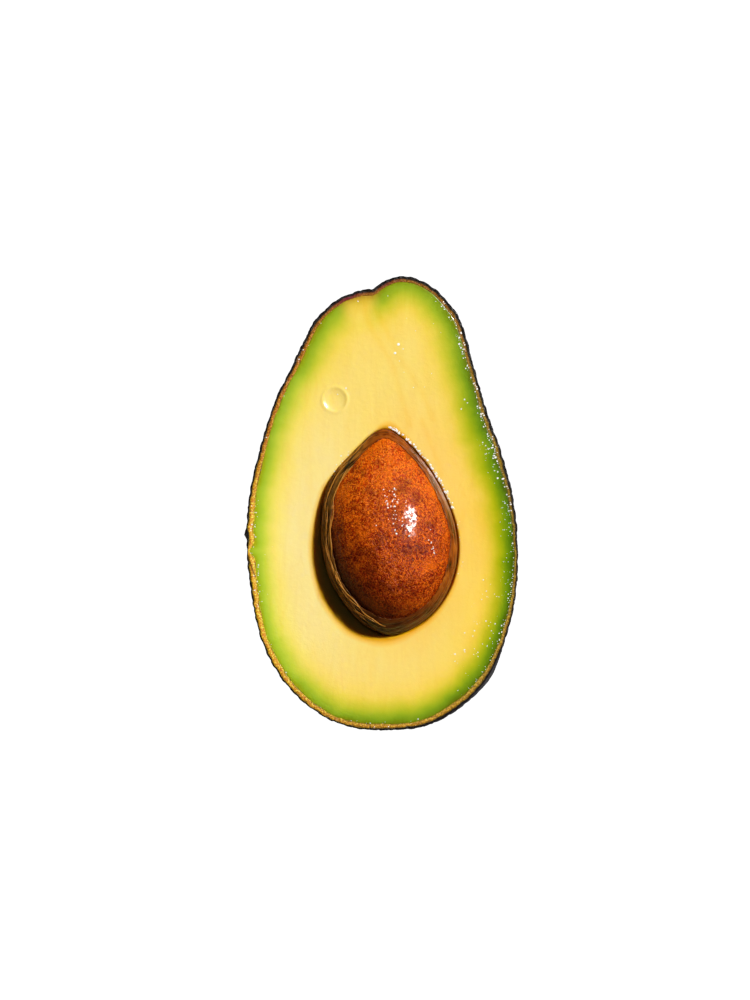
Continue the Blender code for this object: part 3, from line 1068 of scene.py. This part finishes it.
@dataclass
class Flesh:
    """The flesh: it fills the peel, and its cut face has a hollow for the stone."""

    form: FruitForm
    stone: StoneForm
    peel: Peel
    hollow_gap: float = 0.75 * MM  # between the stone and the flesh, where the seed coat lies
    lip: float = 0.25 * MM
    seam: float = 0.05 * MM  # how far the flesh reaches under the peel's rim
    around: int = 560
    belly_rows: int = 40
    face_rows: int = 110
    hollow_rows: int = 30
    drop: Plan = (-11.4, 25.2)  # in millimetres
    drop_radius: float = 3.0 * MM

    def face_height(self, plan: Array, rind: Array) -> Array:
        """How far the cut face stands above the plane of the cut.

        It is a soft swell between rind and stone, faint ripples along the fruit from the knife, a
        sunken line where it meets the peel, and the dish under the large drop.

        Args:
            plan: Places in plan.
            rind: Their distances from the peel.

        Returns:
            One height for each place.
        """
        spots = np.concatenate([plan * np.array([1.0, 0.3]), np.zeros((*plan.shape[:-1], 1))], axis=-1)
        height = 0.06 * MM * clouds(spots, 7 * MM, 71, 3) * ease(rind, 0.0, 2 * MM)
        height -= 0.10 * MM * np.exp(-rind / (0.15 * MM))
        away = reach(plan, self.drop) / self.drop_radius
        return height - 0.30 * MM * np.exp(-((away / 0.8) ** 4)) + 0.17 * MM * bell(away, 1.0, 0.12)

    def edge(self) -> tuple[Array, Array]:
        """The line in plan where flesh and peel meet, and the directions inwards from it.

        Returns:
            The line's points and the unit directions, both in plan.
        """
        outline = self.form.outline(self.around)
        inwards = inward(outline)
        return outline + inwards * (self.peel.thickness(outline) - self.seam)[:, None], inwards

    def lip_points(self, start: Array) -> tuple[Array, Array]:
        """The hollow's edge opposite each point of the rind, seen from the stone's middle.

        Args:
            start: The rind's points, in plan.

        Returns:
            The edge in plan, and the same points on the unit circle of the stone's form.
        """
        turn = np.linspace(-math.pi, math.pi, 2001)
        circle = np.stack([np.cos(turn), np.sin(turn), 0 * turn], axis=1)
        egg = self.stone.surface(circle, self.hollow_gap + self.lip)[:, :2]
        middle = np.array(self.stone.centre)[:2]
        bearing = np.unwrap(np.arctan2(*(egg - middle).T[::-1]))
        wanted = np.arctan2(*(start - middle).T[::-1])
        wanted = bearing[0] + (wanted - bearing[0]) % FULL_TURN
        found = np.interp(wanted, bearing, turn)
        unit = np.stack([np.cos(found), np.sin(found)], axis=1)
        flat = np.pad(unit, ((0, 0), (0, 1)))
        return self.stone.surface(flat, self.hollow_gap + self.lip)[:, :2], unit

    def veins(self, rows: Array) -> Array:
        """Faint strokes from the stem towards the stone: each is the nearness to a smooth line.

        Args:
            rows: Places, with x, y and z on the last axis.

        Returns:
            One number for each place, 1 on a stroke.
        """
        total = np.zeros(rows.shape[:-1])
        for number, stroke in enumerate(VEINS):
            line = smooth_through(np.array(stroke), np.linspace(0, 1, 60)) * MM
            away = np.min(np.linalg.norm(rows[..., None, :2] - line, axis=-1), axis=-1)
            total += bell(away + 0.25 * MM * clouds(rows, 2 * MM, 80 + number, 2), 0, 0.75 * MM)
        return np.clip(total, 0, 1)

    def painted_stone_shadow(self, rows: Array) -> Array:
        """Painted shadow: where the stone hides the lamp from the flesh, with a warm fringe just outside, to
        be painted into the flesh's colour.

        Every place looks along the lamp's direction; what counts is how close the stone comes to that
        line, as the least size of the line's points in the stone's own measure.

        Args:
            rows: Places, with x, y and z on the last axis.

        Returns:
            One number for each place, 1 where the painted shadow is darkest.
        """
        closest = np.full(rows.shape[:-1], 99.0)
        for step in np.linspace(0.5, 20.0, 40) * MM:
            closest = np.minimum(closest, self.stone.closeness(rows + np.array(LAMP_WAY) * step))
        return np.clip((1.9 * MM - closest) / (5.0 * MM), 0, 1)

    def warmth(self, rows: Array) -> Array:
        """Where the flesh is more orange: close to the stone, above all at its right and upper right.

        Args:
            rows: Places, with x, y and z on the last axis.

        Returns:
            One number for each place, larger where the flesh is more orange.
        """
        away = rows[..., :2] - np.array(self.stone.centre)[:2]
        size = np.linalg.norm(away / np.array([self.stone.half_width, self.stone.half_length]), axis=-1)
        return bell(np.maximum(size - 1.05, 0), 0, 0.28) * ease(away[..., 0], -14 * MM, 12 * MM) * 0.7

    def build(self, skin: bpy.types.Material) -> None:
        """Rings up the outside, across the face from the rind to the hollow's lip, then down into it.

        Args:
            skin: The material.
        """
        base = self.form.belly(self.around, self.belly_rows)
        normal = self.form.outward(base)
        outline = base[-1, :, :2]
        width = self.peel.thickness(outline) - self.seam
        picks = np.arange(0, self.belly_rows - 1, 3)
        outside = base[picks] - normal[picks] * width[:, None]
        outside[..., 2] = np.clip(outside[..., 2], self.peel.wall, self.form.cut_height - 0.6 * MM)
        outside[0] = (*self.form.hub, self.peel.wall)
        start = outline - normal[-1, :, :2] * width[:, None]
        lip, unit = self.lip_points(start)
        plan = start + (lip - start) * np.linspace(0, 1, self.face_rows)[:, None, None]
        gaps = [np.linalg.norm(row[:, None] - start[None, ::2], axis=-1).min(axis=1) for row in plan]
        rind = np.array(gaps)
        up = self.form.cut_height + self.face_height(plan, rind)
        up[-1] -= self.lip * 0.4
        face = np.concatenate([plan, up[..., None]], axis=-1)
        sink = np.linspace(0.02, 1, self.hollow_rows)[:, None, None] * math.pi / 2
        lean = np.concatenate([unit * np.cos(sink), -np.sin(sink) + 0 * unit[None, :, :1]], axis=-1)
        hollow = self.stone.surface(lean, self.hollow_gap)
        rows = np.concatenate([outside, face, hollow])
        rind = np.concatenate([0 * outside[..., 0], rind, np.broadcast_to(rind[-1], hollow.shape[:2])])
        marks = {
            "rind": rind * by_bearing(rows, Around.DEEPER) / MM,
            "shade": by_bearing(rows, Around.SHADE),
            "gold": by_bearing(rows, Around.GOLD),
            "scar": ease(reach(rows, STEM_SCAR, (0.85, 1.5)), 7.2 * MM, 2.6 * MM),
            "warm": self.warmth(rows),
            "vein": self.veins(rows),
            # The stone's cast shadow, painted into the flesh's colour.
            "painted_shadow": self.painted_stone_shadow(rows),
        }
        add_piece("flesh_half", rows, marks, skin, Slot.FLESH, "flesh")


@dataclass
class Stone:
    """The stone, bare where it stands out of the seed coat."""

    form: StoneForm
    rows: int = 190
    around: int = 300

    def build(self, skin: bpy.types.Material) -> None:
        """An egg with broad dents and fine unevenness, moved along its outward direction.

        Args:
            skin: The material.
        """
        lean = np.linspace(0, math.pi, self.rows)[:, None]
        turn = np.linspace(0, FULL_TURN, self.around, endpoint=False)[None]
        ring = [np.sin(lean) * np.cos(turn), np.cos(lean) + 0 * turn, np.sin(lean) * np.sin(turn)]
        unit = np.stack(ring, axis=-1)
        base = self.form.surface(unit, 0.0)
        uneven = 0.16 * clouds(base, 9 * MM, 91, 2) + 0.045 * clouds(base, 2.2 * MM, 92, 2)
        uneven += 0.012 * clouds(base, 0.7 * MM, 93, 2)
        rows = base + unit * uneven[..., None] * MM
        rows[0], rows[-1] = rows[0, 0], rows[-1, 0]
        away = rows - np.array(self.form.centre)
        lower = -away[..., 1] * 0.8 - away[..., 0] * 0.65 - away[..., 2] * 0.35
        wet = 0.08 + 1.1 * patch(away, (3.2, 5.2), 5.2, (1.0, 1.6))
        marks = {
            # Painted shade on the side away from the lamp.
            "painted_shade": ease(lower, -2 * MM, 16.0 * MM),
            "tip": ease(away[..., 1], -3 * MM, 15 * MM),
            "wet": wet + 0.5 * patch(away, (10.2, -2.0), 2.4, (1.0, 3.2)),
        }
        add_piece("stone_body", rows, marks, skin, Slot.STONE, "stone")


@dataclass
class SeedCoat:
    """The seed coat: a thin cup round the stone with a ragged, torn edge and ridges of fibre.

    Headings run anticlockwise round the stone from +X, in radians.
    """

    form: StoneForm
    around: int = 620
    outer_rows: int = 96
    inner_rows: int = 16
    clearance: float = 0.06 * MM
    wall: float = 0.34 * MM

    def edge_climb(self, heading: Array) -> Array:
        """The torn edge's angle up from the stone's underside: lower at the tip, with tears of several
        sizes. Its height is divided by the stone's own height where the edge crosses it.

        Args:
            heading: Headings round the stone.

        Returns:
            One angle for each heading.
        """
        ring = np.stack([np.cos(heading), np.sin(heading), 0 * heading], axis=-1)
        tears = 0.45 * clouds(ring, 0.5, 31, 3) + 0.18 * clouds(ring, 0.06, 32, 2)
        tip = (0.5 + 0.5 * np.sin(heading)) ** 6
        end = (0.5 - 0.5 * np.sin(heading)) ** 6
        height = (6.9 - 1.6 * tip + 1.0 * end + tears) * MM
        return math.pi / 2 + np.arcsin(height / self.form.half_height / (1.0 - 0.14 * tip - 0.03 * end))

    def shell(self, heading: Array, climb: Array, grow: float) -> Array:
        """The stone's surface, grown, at headings and at angles up from its underside.

        Args:
            heading: Headings round the stone.
            climb: Angles up from its underside.
            grow: How far it is grown.

        Returns:
            One place for each pair of angles.
        """
        turn = heading + 0 * climb
        unit = np.stack([np.cos(turn) * np.sin(climb), np.sin(turn) * np.sin(climb), -np.cos(climb)], axis=-1)
        return self.form.surface(unit, grow)

    def outward(self, places: Array) -> Array:
        """Unit directions away from the stone's long axis."""
        away = (places - np.array(self.form.centre)) * np.array([1.0, 0.45, 1.0])
        return away / np.linalg.norm(away, axis=-1, keepdims=True)

    def ridges(self, heading: Array, height: Array) -> Array:
        """Fibres that run round the cup: noise stretched along the heading, folded into sharp crests.

        Args:
            heading: Headings round the stone.
            height: Heights above the plane of the cut.

        Returns:
            How far the ridges stand out at each place.
        """
        turn = heading + 0 * height
        lean = height + 1.3 * MM * np.sin(turn * 2 + 0.6)
        spots = np.stack([np.cos(turn) * 9 * MM, np.sin(turn) * 9 * MM, lean * 4.5], axis=-1)
        crest = 1 - np.abs(clouds(spots, 3.6 * MM, 41, 2)) * 1.9
        left = 0.55 + 0.45 * np.cos(turn - math.pi)
        return np.clip(crest, -0.2, 1) * (0.10 + 0.20 * left) * MM * ease(height, -3 * MM, 0.5 * MM)

    def build(self, skin: bpy.types.Material) -> None:
        """Rings up the outside from the bottom, over the torn edge, and back down the inside.

        Args:
            skin: The material.
        """
        heading = np.linspace(0, FULL_TURN, self.around, endpoint=False)
        top = self.edge_climb(heading)
        climb = np.linspace(0, 1, self.outer_rows)[:, None] ** 0.8
        outer = self.shell(heading, climb * top, self.clearance + self.wall)
        ridges = self.ridges(heading, outer[..., 2] - self.form.centre.z)
        thin = 1 - 0.55 * ease(climb, 0.93, 1.0)
        outer += self.outward(outer) * (ridges * thin - (1 - thin) * 0.30 * MM)[..., None]
        inside = np.linspace(1, 0, self.inner_rows)[:, None] * (top - 0.012)
        inner = self.shell(heading, inside, self.clearance)
        rows = np.concatenate([outer, inner])
        rows[0], rows[-1] = rows[0, 0], rows[-1, 0]
        away = rows - np.array(self.form.centre)
        bearing = np.arctan2(away[..., 1], away[..., 0])
        marks = {
            # Painted shade on the lower end, away from the lamp.
            "painted_shade": ease(-away[..., 1] * 0.85 - away[..., 0] * 0.25, 4 * MM, 22 * MM),
            "strand": np.concatenate([ease(ridges, 0.02 * MM, 0.22 * MM), 0 * inner[..., 0]]),
            "dry": ease(-away[..., 0], 2 * MM, 11 * MM),
            "wet": 0.04 + 0.9 * bell(turn_between(bearing, math.radians(38)), 0, 0.42),
        }
        add_piece("seed_coat_cup", rows, marks, skin, Slot.SEED_COAT, "seed_coat")


@dataclass
class CoatFibres:
    """Loose fibres of the seed coat: thin strands along the left of the stone, and one small loop."""

    coat: SeedCoat
    strands: int = 26
    points: int = 60
    sides: int = 6
    thickness: float = 0.105 * MM
    start: float = math.radians(118)
    loop_root: tuple[float, float, float] = (-15.25, -5.0, 1.6)  # from the stone's middle, in millimetres
    loop_lean: float = math.radians(14)

    def paths(self) -> Array:
        """The strands' middle lines: each wanders up and down the cup while it follows it round.

        Returns:
            Places, shaped (strands, points, 3).
        """
        pick = lots(self.strands, 3)[:, None]
        along = np.linspace(0, 1, self.points)[None]
        heading = self.start + 1.5 * chance(pick, 61) + (0.5 + 1.1 * chance(pick, 62)) * along
        level = (0.5 + 6.6 * chance(pick, 63) + 0.9 * np.sin(along * 3.1 + 6.3 * chance(pick, 64))) * MM
        level += 0.22 * MM * np.sin(heading * 17 + 40 * chance(pick, 65))
        lift = (0.12 + 0.24 * np.abs(np.sin(heading * 5 + 30 * chance(pick, 66)))) * MM
        climb = math.pi / 2 + np.arcsin(np.clip(level / self.coat.form.half_height, -1, 1))
        places = self.coat.shell(heading, climb, self.coat.clearance + self.coat.wall)
        return places + self.coat.outward(places) * lift[..., None]

    def loop(self) -> Array:
        """A curl that stands away from the left of the stone: an ellipse, open where it is rooted.

        Returns:
            Places, shaped (1, points, 3).
        """
        turn = np.linspace(-0.35, FULL_TURN - 0.75, self.points)
        across, along = np.cos(turn) * 0.42 * MM, np.sin(turn) * 1.15 * MM
        x = across * math.cos(self.loop_lean) + along * math.sin(self.loop_lean)
        y = along * math.cos(self.loop_lean) - across * math.sin(self.loop_lean)
        curl = np.stack([x, y, 0.25 * MM * np.sin(turn * 2)], axis=-1)
        return (np.array(self.coat.form.centre) + np.array(self.loop_root) * MM + curl)[None]

    def build(self, skin: bpy.types.Material) -> None:
        """Tubes round the middle lines, tapered to nothing at both ends.

        Args:
            skin: The material.
        """
        line = np.concatenate([self.paths(), self.loop()])
        along = np.gradient(line, axis=1)
        along /= np.linalg.norm(along, axis=-1, keepdims=True)
        side = np.cross(along, np.array([0.12, 0.05, 1.0]))
        side /= np.linalg.norm(side, axis=-1, keepdims=True)
        up = np.cross(side, along)
        taper = np.minimum(1, np.sin(np.linspace(0, 1, self.points) * math.pi) * 3) ** 0.7
        pick = np.arange(len(line))[:, None, None] + np.zeros(3)
        width = self.thickness * (0.6 + 0.8 * chance(pick, 67)) * taper
        turn = np.linspace(0, FULL_TURN, self.sides, endpoint=False)[:, None]
        ring = np.cos(turn) * side[:, :, None] + np.sin(turn) * up[:, :, None]
        rows = line[:, :, None] + ring * width[..., None, None]
        flat = np.zeros(rows.shape[:3])
        marks = {"painted_shade": flat, "strand": flat + 2.0, "dry": flat + 1.0, "wet": flat}
        add_piece("seed_coat_fibres", rows, marks, skin, Slot.SEED_COAT)


class Spray(NamedTuple):
    """A scatter of juice beads on the cut face.

    Bearings run anticlockwise in degrees round the middle of the fruit, from +X. Distances are from
    the peel inwards, or from the stone outwards, in millimetres.
    """

    start: float
    end: float
    near: float
    far: float
    count: int
    smallest: float
    largest: float
    by_stone: bool = False


SPRAYS = (
    Spray(28, 78, -0.5, 0.9, 150, 0.13, 0.32),
    Spray(20, 40, 0.3, 3.4, 34, 0.13, 0.30),
    Spray(-28, 28, -0.4, 0.5, 110, 0.12, 0.26),
    Spray(-30, 12, 0.3, 3.0, 110, 0.11, 0.20),
    Spray(-62, -22, -0.2, 0.9, 90, 0.12, 0.28),
    Spray(-66, -22, 1.0, 9.0, 70, 0.12, 0.28),
    Spray(168, 214, -0.9, 0.7, 70, 0.12, 0.25),
    Spray(168, 220, 0.6, 7.0, 26, 0.10, 0.18),
    Spray(100, 168, -0.6, 0.3, 44, 0.09, 0.19),
    Spray(214, 296, -0.9, 0.5, 90, 0.09, 0.20),
    Spray(50, 86, 4.0, 12.0, 18, 0.10, 0.22),
    Spray(12, 84, 0.05, 0.6, 140, 0.15, 0.38, True),
    Spray(-24, 14, 0.1, 1.0, 30, 0.10, 0.20, True),
    Spray(128, 150, 0.1, 0.8, 8, 0.12, 0.24, True),
)
# Beads with places of their own: across, along and radius, in millimetres.
LONE_BEADS = (
    (3.14, 36.4, 0.40), (3.98, 38.5, 0.42), (5.1, 37.4, 0.22), (4.2, 34.5, 0.2), (5.3, 31.8, 0.18),
    (7.6, 28.1, 0.22), (10.25, 28.2, 0.2), (19.9, 25.2, 0.28), (20.6, 24.4, 0.22), (19.1, 22.9, 0.26),
    (-9.9, 11.6, 0.26), (-8.2, 11.8, 0.2), (-8.7, 27.9, 0.3), (-10.7, 26.5, 0.26), (17.6, -36.2, 0.28),
    (-5.7, 50.3, 0.36), (-5.0, 50.5, 0.24), (-5.8, 48.9, 0.28), (-3.4, 51.3, 0.2), (1.4, 50.2, 0.2),
)  # fmt: skip
# Painted glints on the stone, small white beads that stand in for the lamp's highlights: the middle across
# and along, the reach across and along, in millimetres, and how many.
GLINTS = (
    (2.0, 1.4, 1.6, 2.4, 24), (4.9, -3.4, 2.4, 4.8, 34), (11.4, -8.8, 0.6, 4.2, 9), (0.2, -6.5, 2.2, 3.0, 4),
)  # fmt: skip


@dataclass
class Juice:
    """Juice beads on the cut face and white dots on the stone, near-white as a painted highlight for glints.
    """

    flesh: Flesh
    sides: int = 10
    rings: int = 5
    flatness: float = 0.16  # a bead's height as a share of its radius
    lift: float = 0.06 * MM  # how far the glints stand off the stone's even surface

    def spots(self) -> tuple[Array, Array]:
        """Where the beads stand on the cut face in plan, and their radii.

        Returns:
            The beads' middles in plan, and their radii.
        """
        edge, inwards = self.flesh.edge()
        bearing = np.degrees(np.arctan2(edge[:, 1] + 5 * MM, edge[:, 0]))
        found, radii = [], []
        for number, spray in enumerate(SPRAYS):
            pick = lots(spray.count, number)
            turn = spray.start + (spray.end - spray.start) * chance(pick, 71)
            away = (spray.near + (spray.far - spray.near) * chance(pick, 72) ** 1.3) * MM
            if spray.by_stone:
                flat = np.stack([np.cos(np.radians(turn)), np.sin(np.radians(turn)), 0 * turn], axis=-1)
                rim = self.flesh.stone.surface(flat, self.flesh.hollow_gap + self.flesh.lip)
                found.append(rim[:, :2] + flat[:, :2] * away[:, None])
            else:
                nearest = np.argmin(np.abs((bearing[None] - turn[:, None] + 180) % 360 - 180), axis=1)
                found.append(edge[nearest] + inwards[nearest] * away[:, None])
            radii.append((spray.smallest + (spray.largest - spray.smallest) * chance(pick, 73) ** 2) * MM)
        lone = np.array(LONE_BEADS) * MM
        return np.concatenate([*found, lone[:, :2]]), np.concatenate([*radii, lone[:, 2]])

    def glints(self) -> tuple[Array, Array]:
        """Places of the glints on the stone, and their radii, scattered evenly in each patch.

        Returns:
            The glints' middles in space, and their radii.
        """
        stone = self.flesh.stone
        found, radii = [], []
        for number, (across, along, reach_x, reach_y, count) in enumerate(GLINTS):
            pick = lots(count, number, 1)
            x = across * MM + reach_x * MM * (2 * chance(pick, 81) - 1) - stone.centre.x
            y = along * MM + reach_y * MM * (2 * chance(pick, 82) - 1) - stone.centre.y
            flat = np.stack([x / stone.half_width, y / stone.half_length], axis=-1)
            rise = np.sqrt(np.clip(1 - (flat**2).sum(axis=-1), 0.05, 1))
            found.append(stone.surface(np.concatenate([flat, rise[:, None]], axis=-1), self.lift))
            radii.append((0.12 + 0.18 * chance(pick, 83) ** 2) * MM)
        return np.concatenate(found), np.concatenate(radii)

    def beads(self, skin: bpy.types.Material) -> None:
        """Round caps: the height falls with the square of the distance from the middle.

        Args:
            skin: The material.
        """
        spot, radius = self.spots()
        edge = self.flesh.edge()[0][::4]
        rind = np.linalg.norm(spot[:, None] - edge[None], axis=-1).min(axis=1)
        floor = self.flesh.form.cut_height + self.flesh.face_height(spot, rind) - 0.02 * MM
        on_stone, small = self.glints()
        spot, radius = np.concatenate([spot, on_stone[:, :2]]), np.concatenate([radius, small])
        floor = np.concatenate([floor, on_stone[:, 2]])
        away = np.concatenate([np.linspace(0, 1, self.rings), [0.0]])
        rise = np.concatenate([1 - np.linspace(0, 1, self.rings) ** 2, [0.0]])
        turn = np.linspace(0, FULL_TURN, self.sides, endpoint=False)
        pick = lots(len(spot))
        squash, lay = 1 - 0.35 * chance(pick, 74), math.pi * chance(pick, 75)[:, None]
        local_x, local_y = np.cos(turn)[None], np.sin(turn)[None] * squash[:, None]
        x = local_x * np.cos(lay) - local_y * np.sin(lay)
        y = local_x * np.sin(lay) + local_y * np.cos(lay)
        flat = np.stack([x, y], axis=-1)[:, None] * away[None, :, None, None] * radius[:, None, None, None]
        plan = spot[:, None, None] + flat
        up = floor[:, None] + rise[None] * (self.flatness * radius)[:, None]
        up[:, -1] -= 0.03 * MM
        rows = np.concatenate([plan, np.broadcast_to(up[:, :, None, None], (*plan.shape[:3], 1))], axis=-1)
        add_piece("juice_and_painted_glints", rows, {}, skin, Slot.FLESH)


# --- Light, floor and camera -------------------------------------------------------------------------
def stand(name: str, data: bpy.types.ID) -> bpy.types.Object:
    """A new object in the scene that isn't part of the fruit.

    Args:
        name: The object's name.
        data: Its mesh, light or camera.

    Returns:
        The new object.
    """
    made = bpy.data.objects.new(name, data)
    bpy.context.scene.collection.objects.link(made)
    return made


@dataclass
class Studio:
    """The set: a pale floor, one small hard lamp at the upper right, and a soft pale surround."""

    look_at: Vector  # the point of the cut face under the camera
    camera_height: float = 0.670
    lens: float = 100.0
    lamp_strength: float = 4.25
    lamp_width: float = math.radians(5.0)
    floor_reach: float = 4.0
    floor_glow: float = 0.5  # as the fruit sees it
    floor_shine: float = 0.6  # more for the camera, so that the floor is plain white

    def build(self) -> None:
        """Sets up colour handling, world, floor, lamp and camera."""
        bpy.context.scene.view_settings.view_transform = "Standard"
        self.world()
        self.floor()
        self.lamp()
        self.camera()

    def world(self) -> None:
        """A dim surround that glows towards the horizon, and is plain white behind the fruit."""
        world = bpy.data.worlds.new("studio")
        bpy.context.scene.world = world
        world.use_nodes = True
        graph = Graph(world.node_tree)
        way = graph.add("SeparateXYZ", {0: graph.add("TexCoord").outputs["Generated"]}).outputs["Z"]
        above = graph.span(way, 0.7, 0.05, (0.026, 0.06))
        below = graph.times(graph.span(way, -0.28, -0.45), graph.span(way, -0.95, -0.7))
        soft = world.node_tree.nodes["Background"]
        graph.put(soft.inputs["Color"], (0.97, 0.98, 1.0))
        graph.put(soft.inputs["Strength"], graph.math("MULTIPLY_ADD", below, 0.22, above))
        plain = graph.add("Background", {"Color": (1.0, 1.0, 1.0), "Strength": 1.0})
        seen = graph.add("LightPath").outputs["Is Camera Ray"]
        both = graph.add("MixShader", {0: seen, 1: soft.outputs[0], 2: plain.outputs[0]})
        graph.put(world.node_tree.nodes["World Output"].inputs["Surface"], both.outputs[0])

    def floor(self) -> None:
        """A large pale floor that is bright by itself, so that the lamp throws no shadow on it."""
        mesh = bpy.data.meshes.new("floor")
        far = self.floor_reach
        corners = [(x * far, y * far, 0) for x, y in ((-1, -1), (1, -1), (1, 1), (-1, 1))]
        mesh.from_pydata(corners, [], [(0, 1, 2, 3)])
        floor = stand("floor", mesh)
        even = {"Base Color": (0.9, 0.9, 0.9), "Roughness": 0.9, "Emission Color": (1.0, 1.0, 1.0)}
        pale = Finish("pale_floor", Effects(), even).make()
        graph = Graph(pale.node_tree)
        seen = graph.add("LightPath").outputs["Is Camera Ray"]
        glow = graph.math("MULTIPLY_ADD", seen, self.floor_shine, self.floor_glow)
        graph.put(pale.node_tree.nodes["Principled BSDF"].inputs["Emission Strength"], glow)
        mesh.materials.append(pale)
        floor.visible_glossy = False

    def lamp(self) -> None:
        """The hard lamp, which lights only the fruit."""
        data = bpy.data.lights.new("lamp", "SUN")
        data.energy = self.lamp_strength
        data.angle = self.lamp_width
        data.color = (1.0, 0.985, 0.95)
        lamp = stand("lamp", data)
        lamp.rotation_euler = Vector(LAMP_WAY).to_track_quat("Z", "Y").to_euler()
        lamp.light_linking.receiver_collection = fruit_group()

    def camera(self) -> None:
        """A long lens straight above the cut face."""
        data = bpy.data.cameras.new("camera")
        data.lens = self.lens
        data.sensor_width = 36.0
        data.clip_end = 50.0
        camera = stand("camera", data)
        camera.location = self.look_at + Vector((0, 0, self.camera_height))
        bpy.context.scene.camera = camera


def main() -> None:
    """Builds the fruit from the outside in, then the set."""
    logging.basicConfig(level=logging.INFO, format="%(name)s %(message)s")
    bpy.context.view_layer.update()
    _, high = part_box("peel")
    stone_low, stone_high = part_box("stone")
    form = FruitForm(half_width=high.x, half_length=high.y + 0.1 * MM, cut_height=high.z)
    middle = (stone_low + stone_high) / 2
    egg = StoneForm(
        centre=Vector((middle.x, middle.y + 0.15 * MM, high.z)),
        half_width=(stone_high.x - stone_low.x) / 2 + 0.45 * MM,
        half_length=(stone_high.y - stone_low.y) / 2 + 0.5 * MM,
        half_height=stone_high.z - high.z + 0.3 * MM,
    )
    effects = Effects()
    soft = {"Subsurface Weight": 0.5, "Subsurface Radius": (0.95, 0.9, 0.15), "Subsurface Scale": 2.2 * MM}
    waxy = {"Specular IOR Level": 0.25, "Coat Roughness": 0.12}
    moist = {**soft, "Coat Weight": 0.2, "Coat Roughness": 0.1}
    polished = {"Specular IOR Level": 0.12, "Coat Roughness": 0.15}
    papery = {"Specular IOR Level": 0.15, "Coat Roughness": 0.12}
    skins = {
        Slot.PEEL: PeelFinish("peel_skin", effects, waxy),
        Slot.FLESH: FleshFinish("flesh_moist", effects, moist),
        Slot.STONE: StoneFinish("stone_polished", effects, polished),
        Slot.SEED_COAT: CoatFinish("seed_coat_torn", effects, papery),
    }
    skin = {slot: finish.make() for slot, finish in skins.items()}
    peel = Peel(form)
    peel.build(skin[Slot.PEEL])
    flesh = Flesh(form, egg, peel)
    flesh.build(skin[Slot.FLESH])
    Stone(egg).build(skin[Slot.STONE])
    coat = SeedCoat(egg)
    coat.build(skin[Slot.SEED_COAT])
    CoatFibres(coat).build(skin[Slot.SEED_COAT])
    # Painted highlight: near-white and almost opaque, so that the beads show as glints; clear juice would be
    # see-through.
    glint_white = {"Base Color": (1.0, 1.0, 0.96), "Roughness": 0.15, "IOR": 1.6, "Alpha": 0.96}
    Juice(flesh).beads(Finish("juice_painted_glint", effects, glint_white).make())
    Studio(Vector((-1.69 * MM, 0.96 * MM, high.z))).build()


if __name__ == "__main__":
    main()
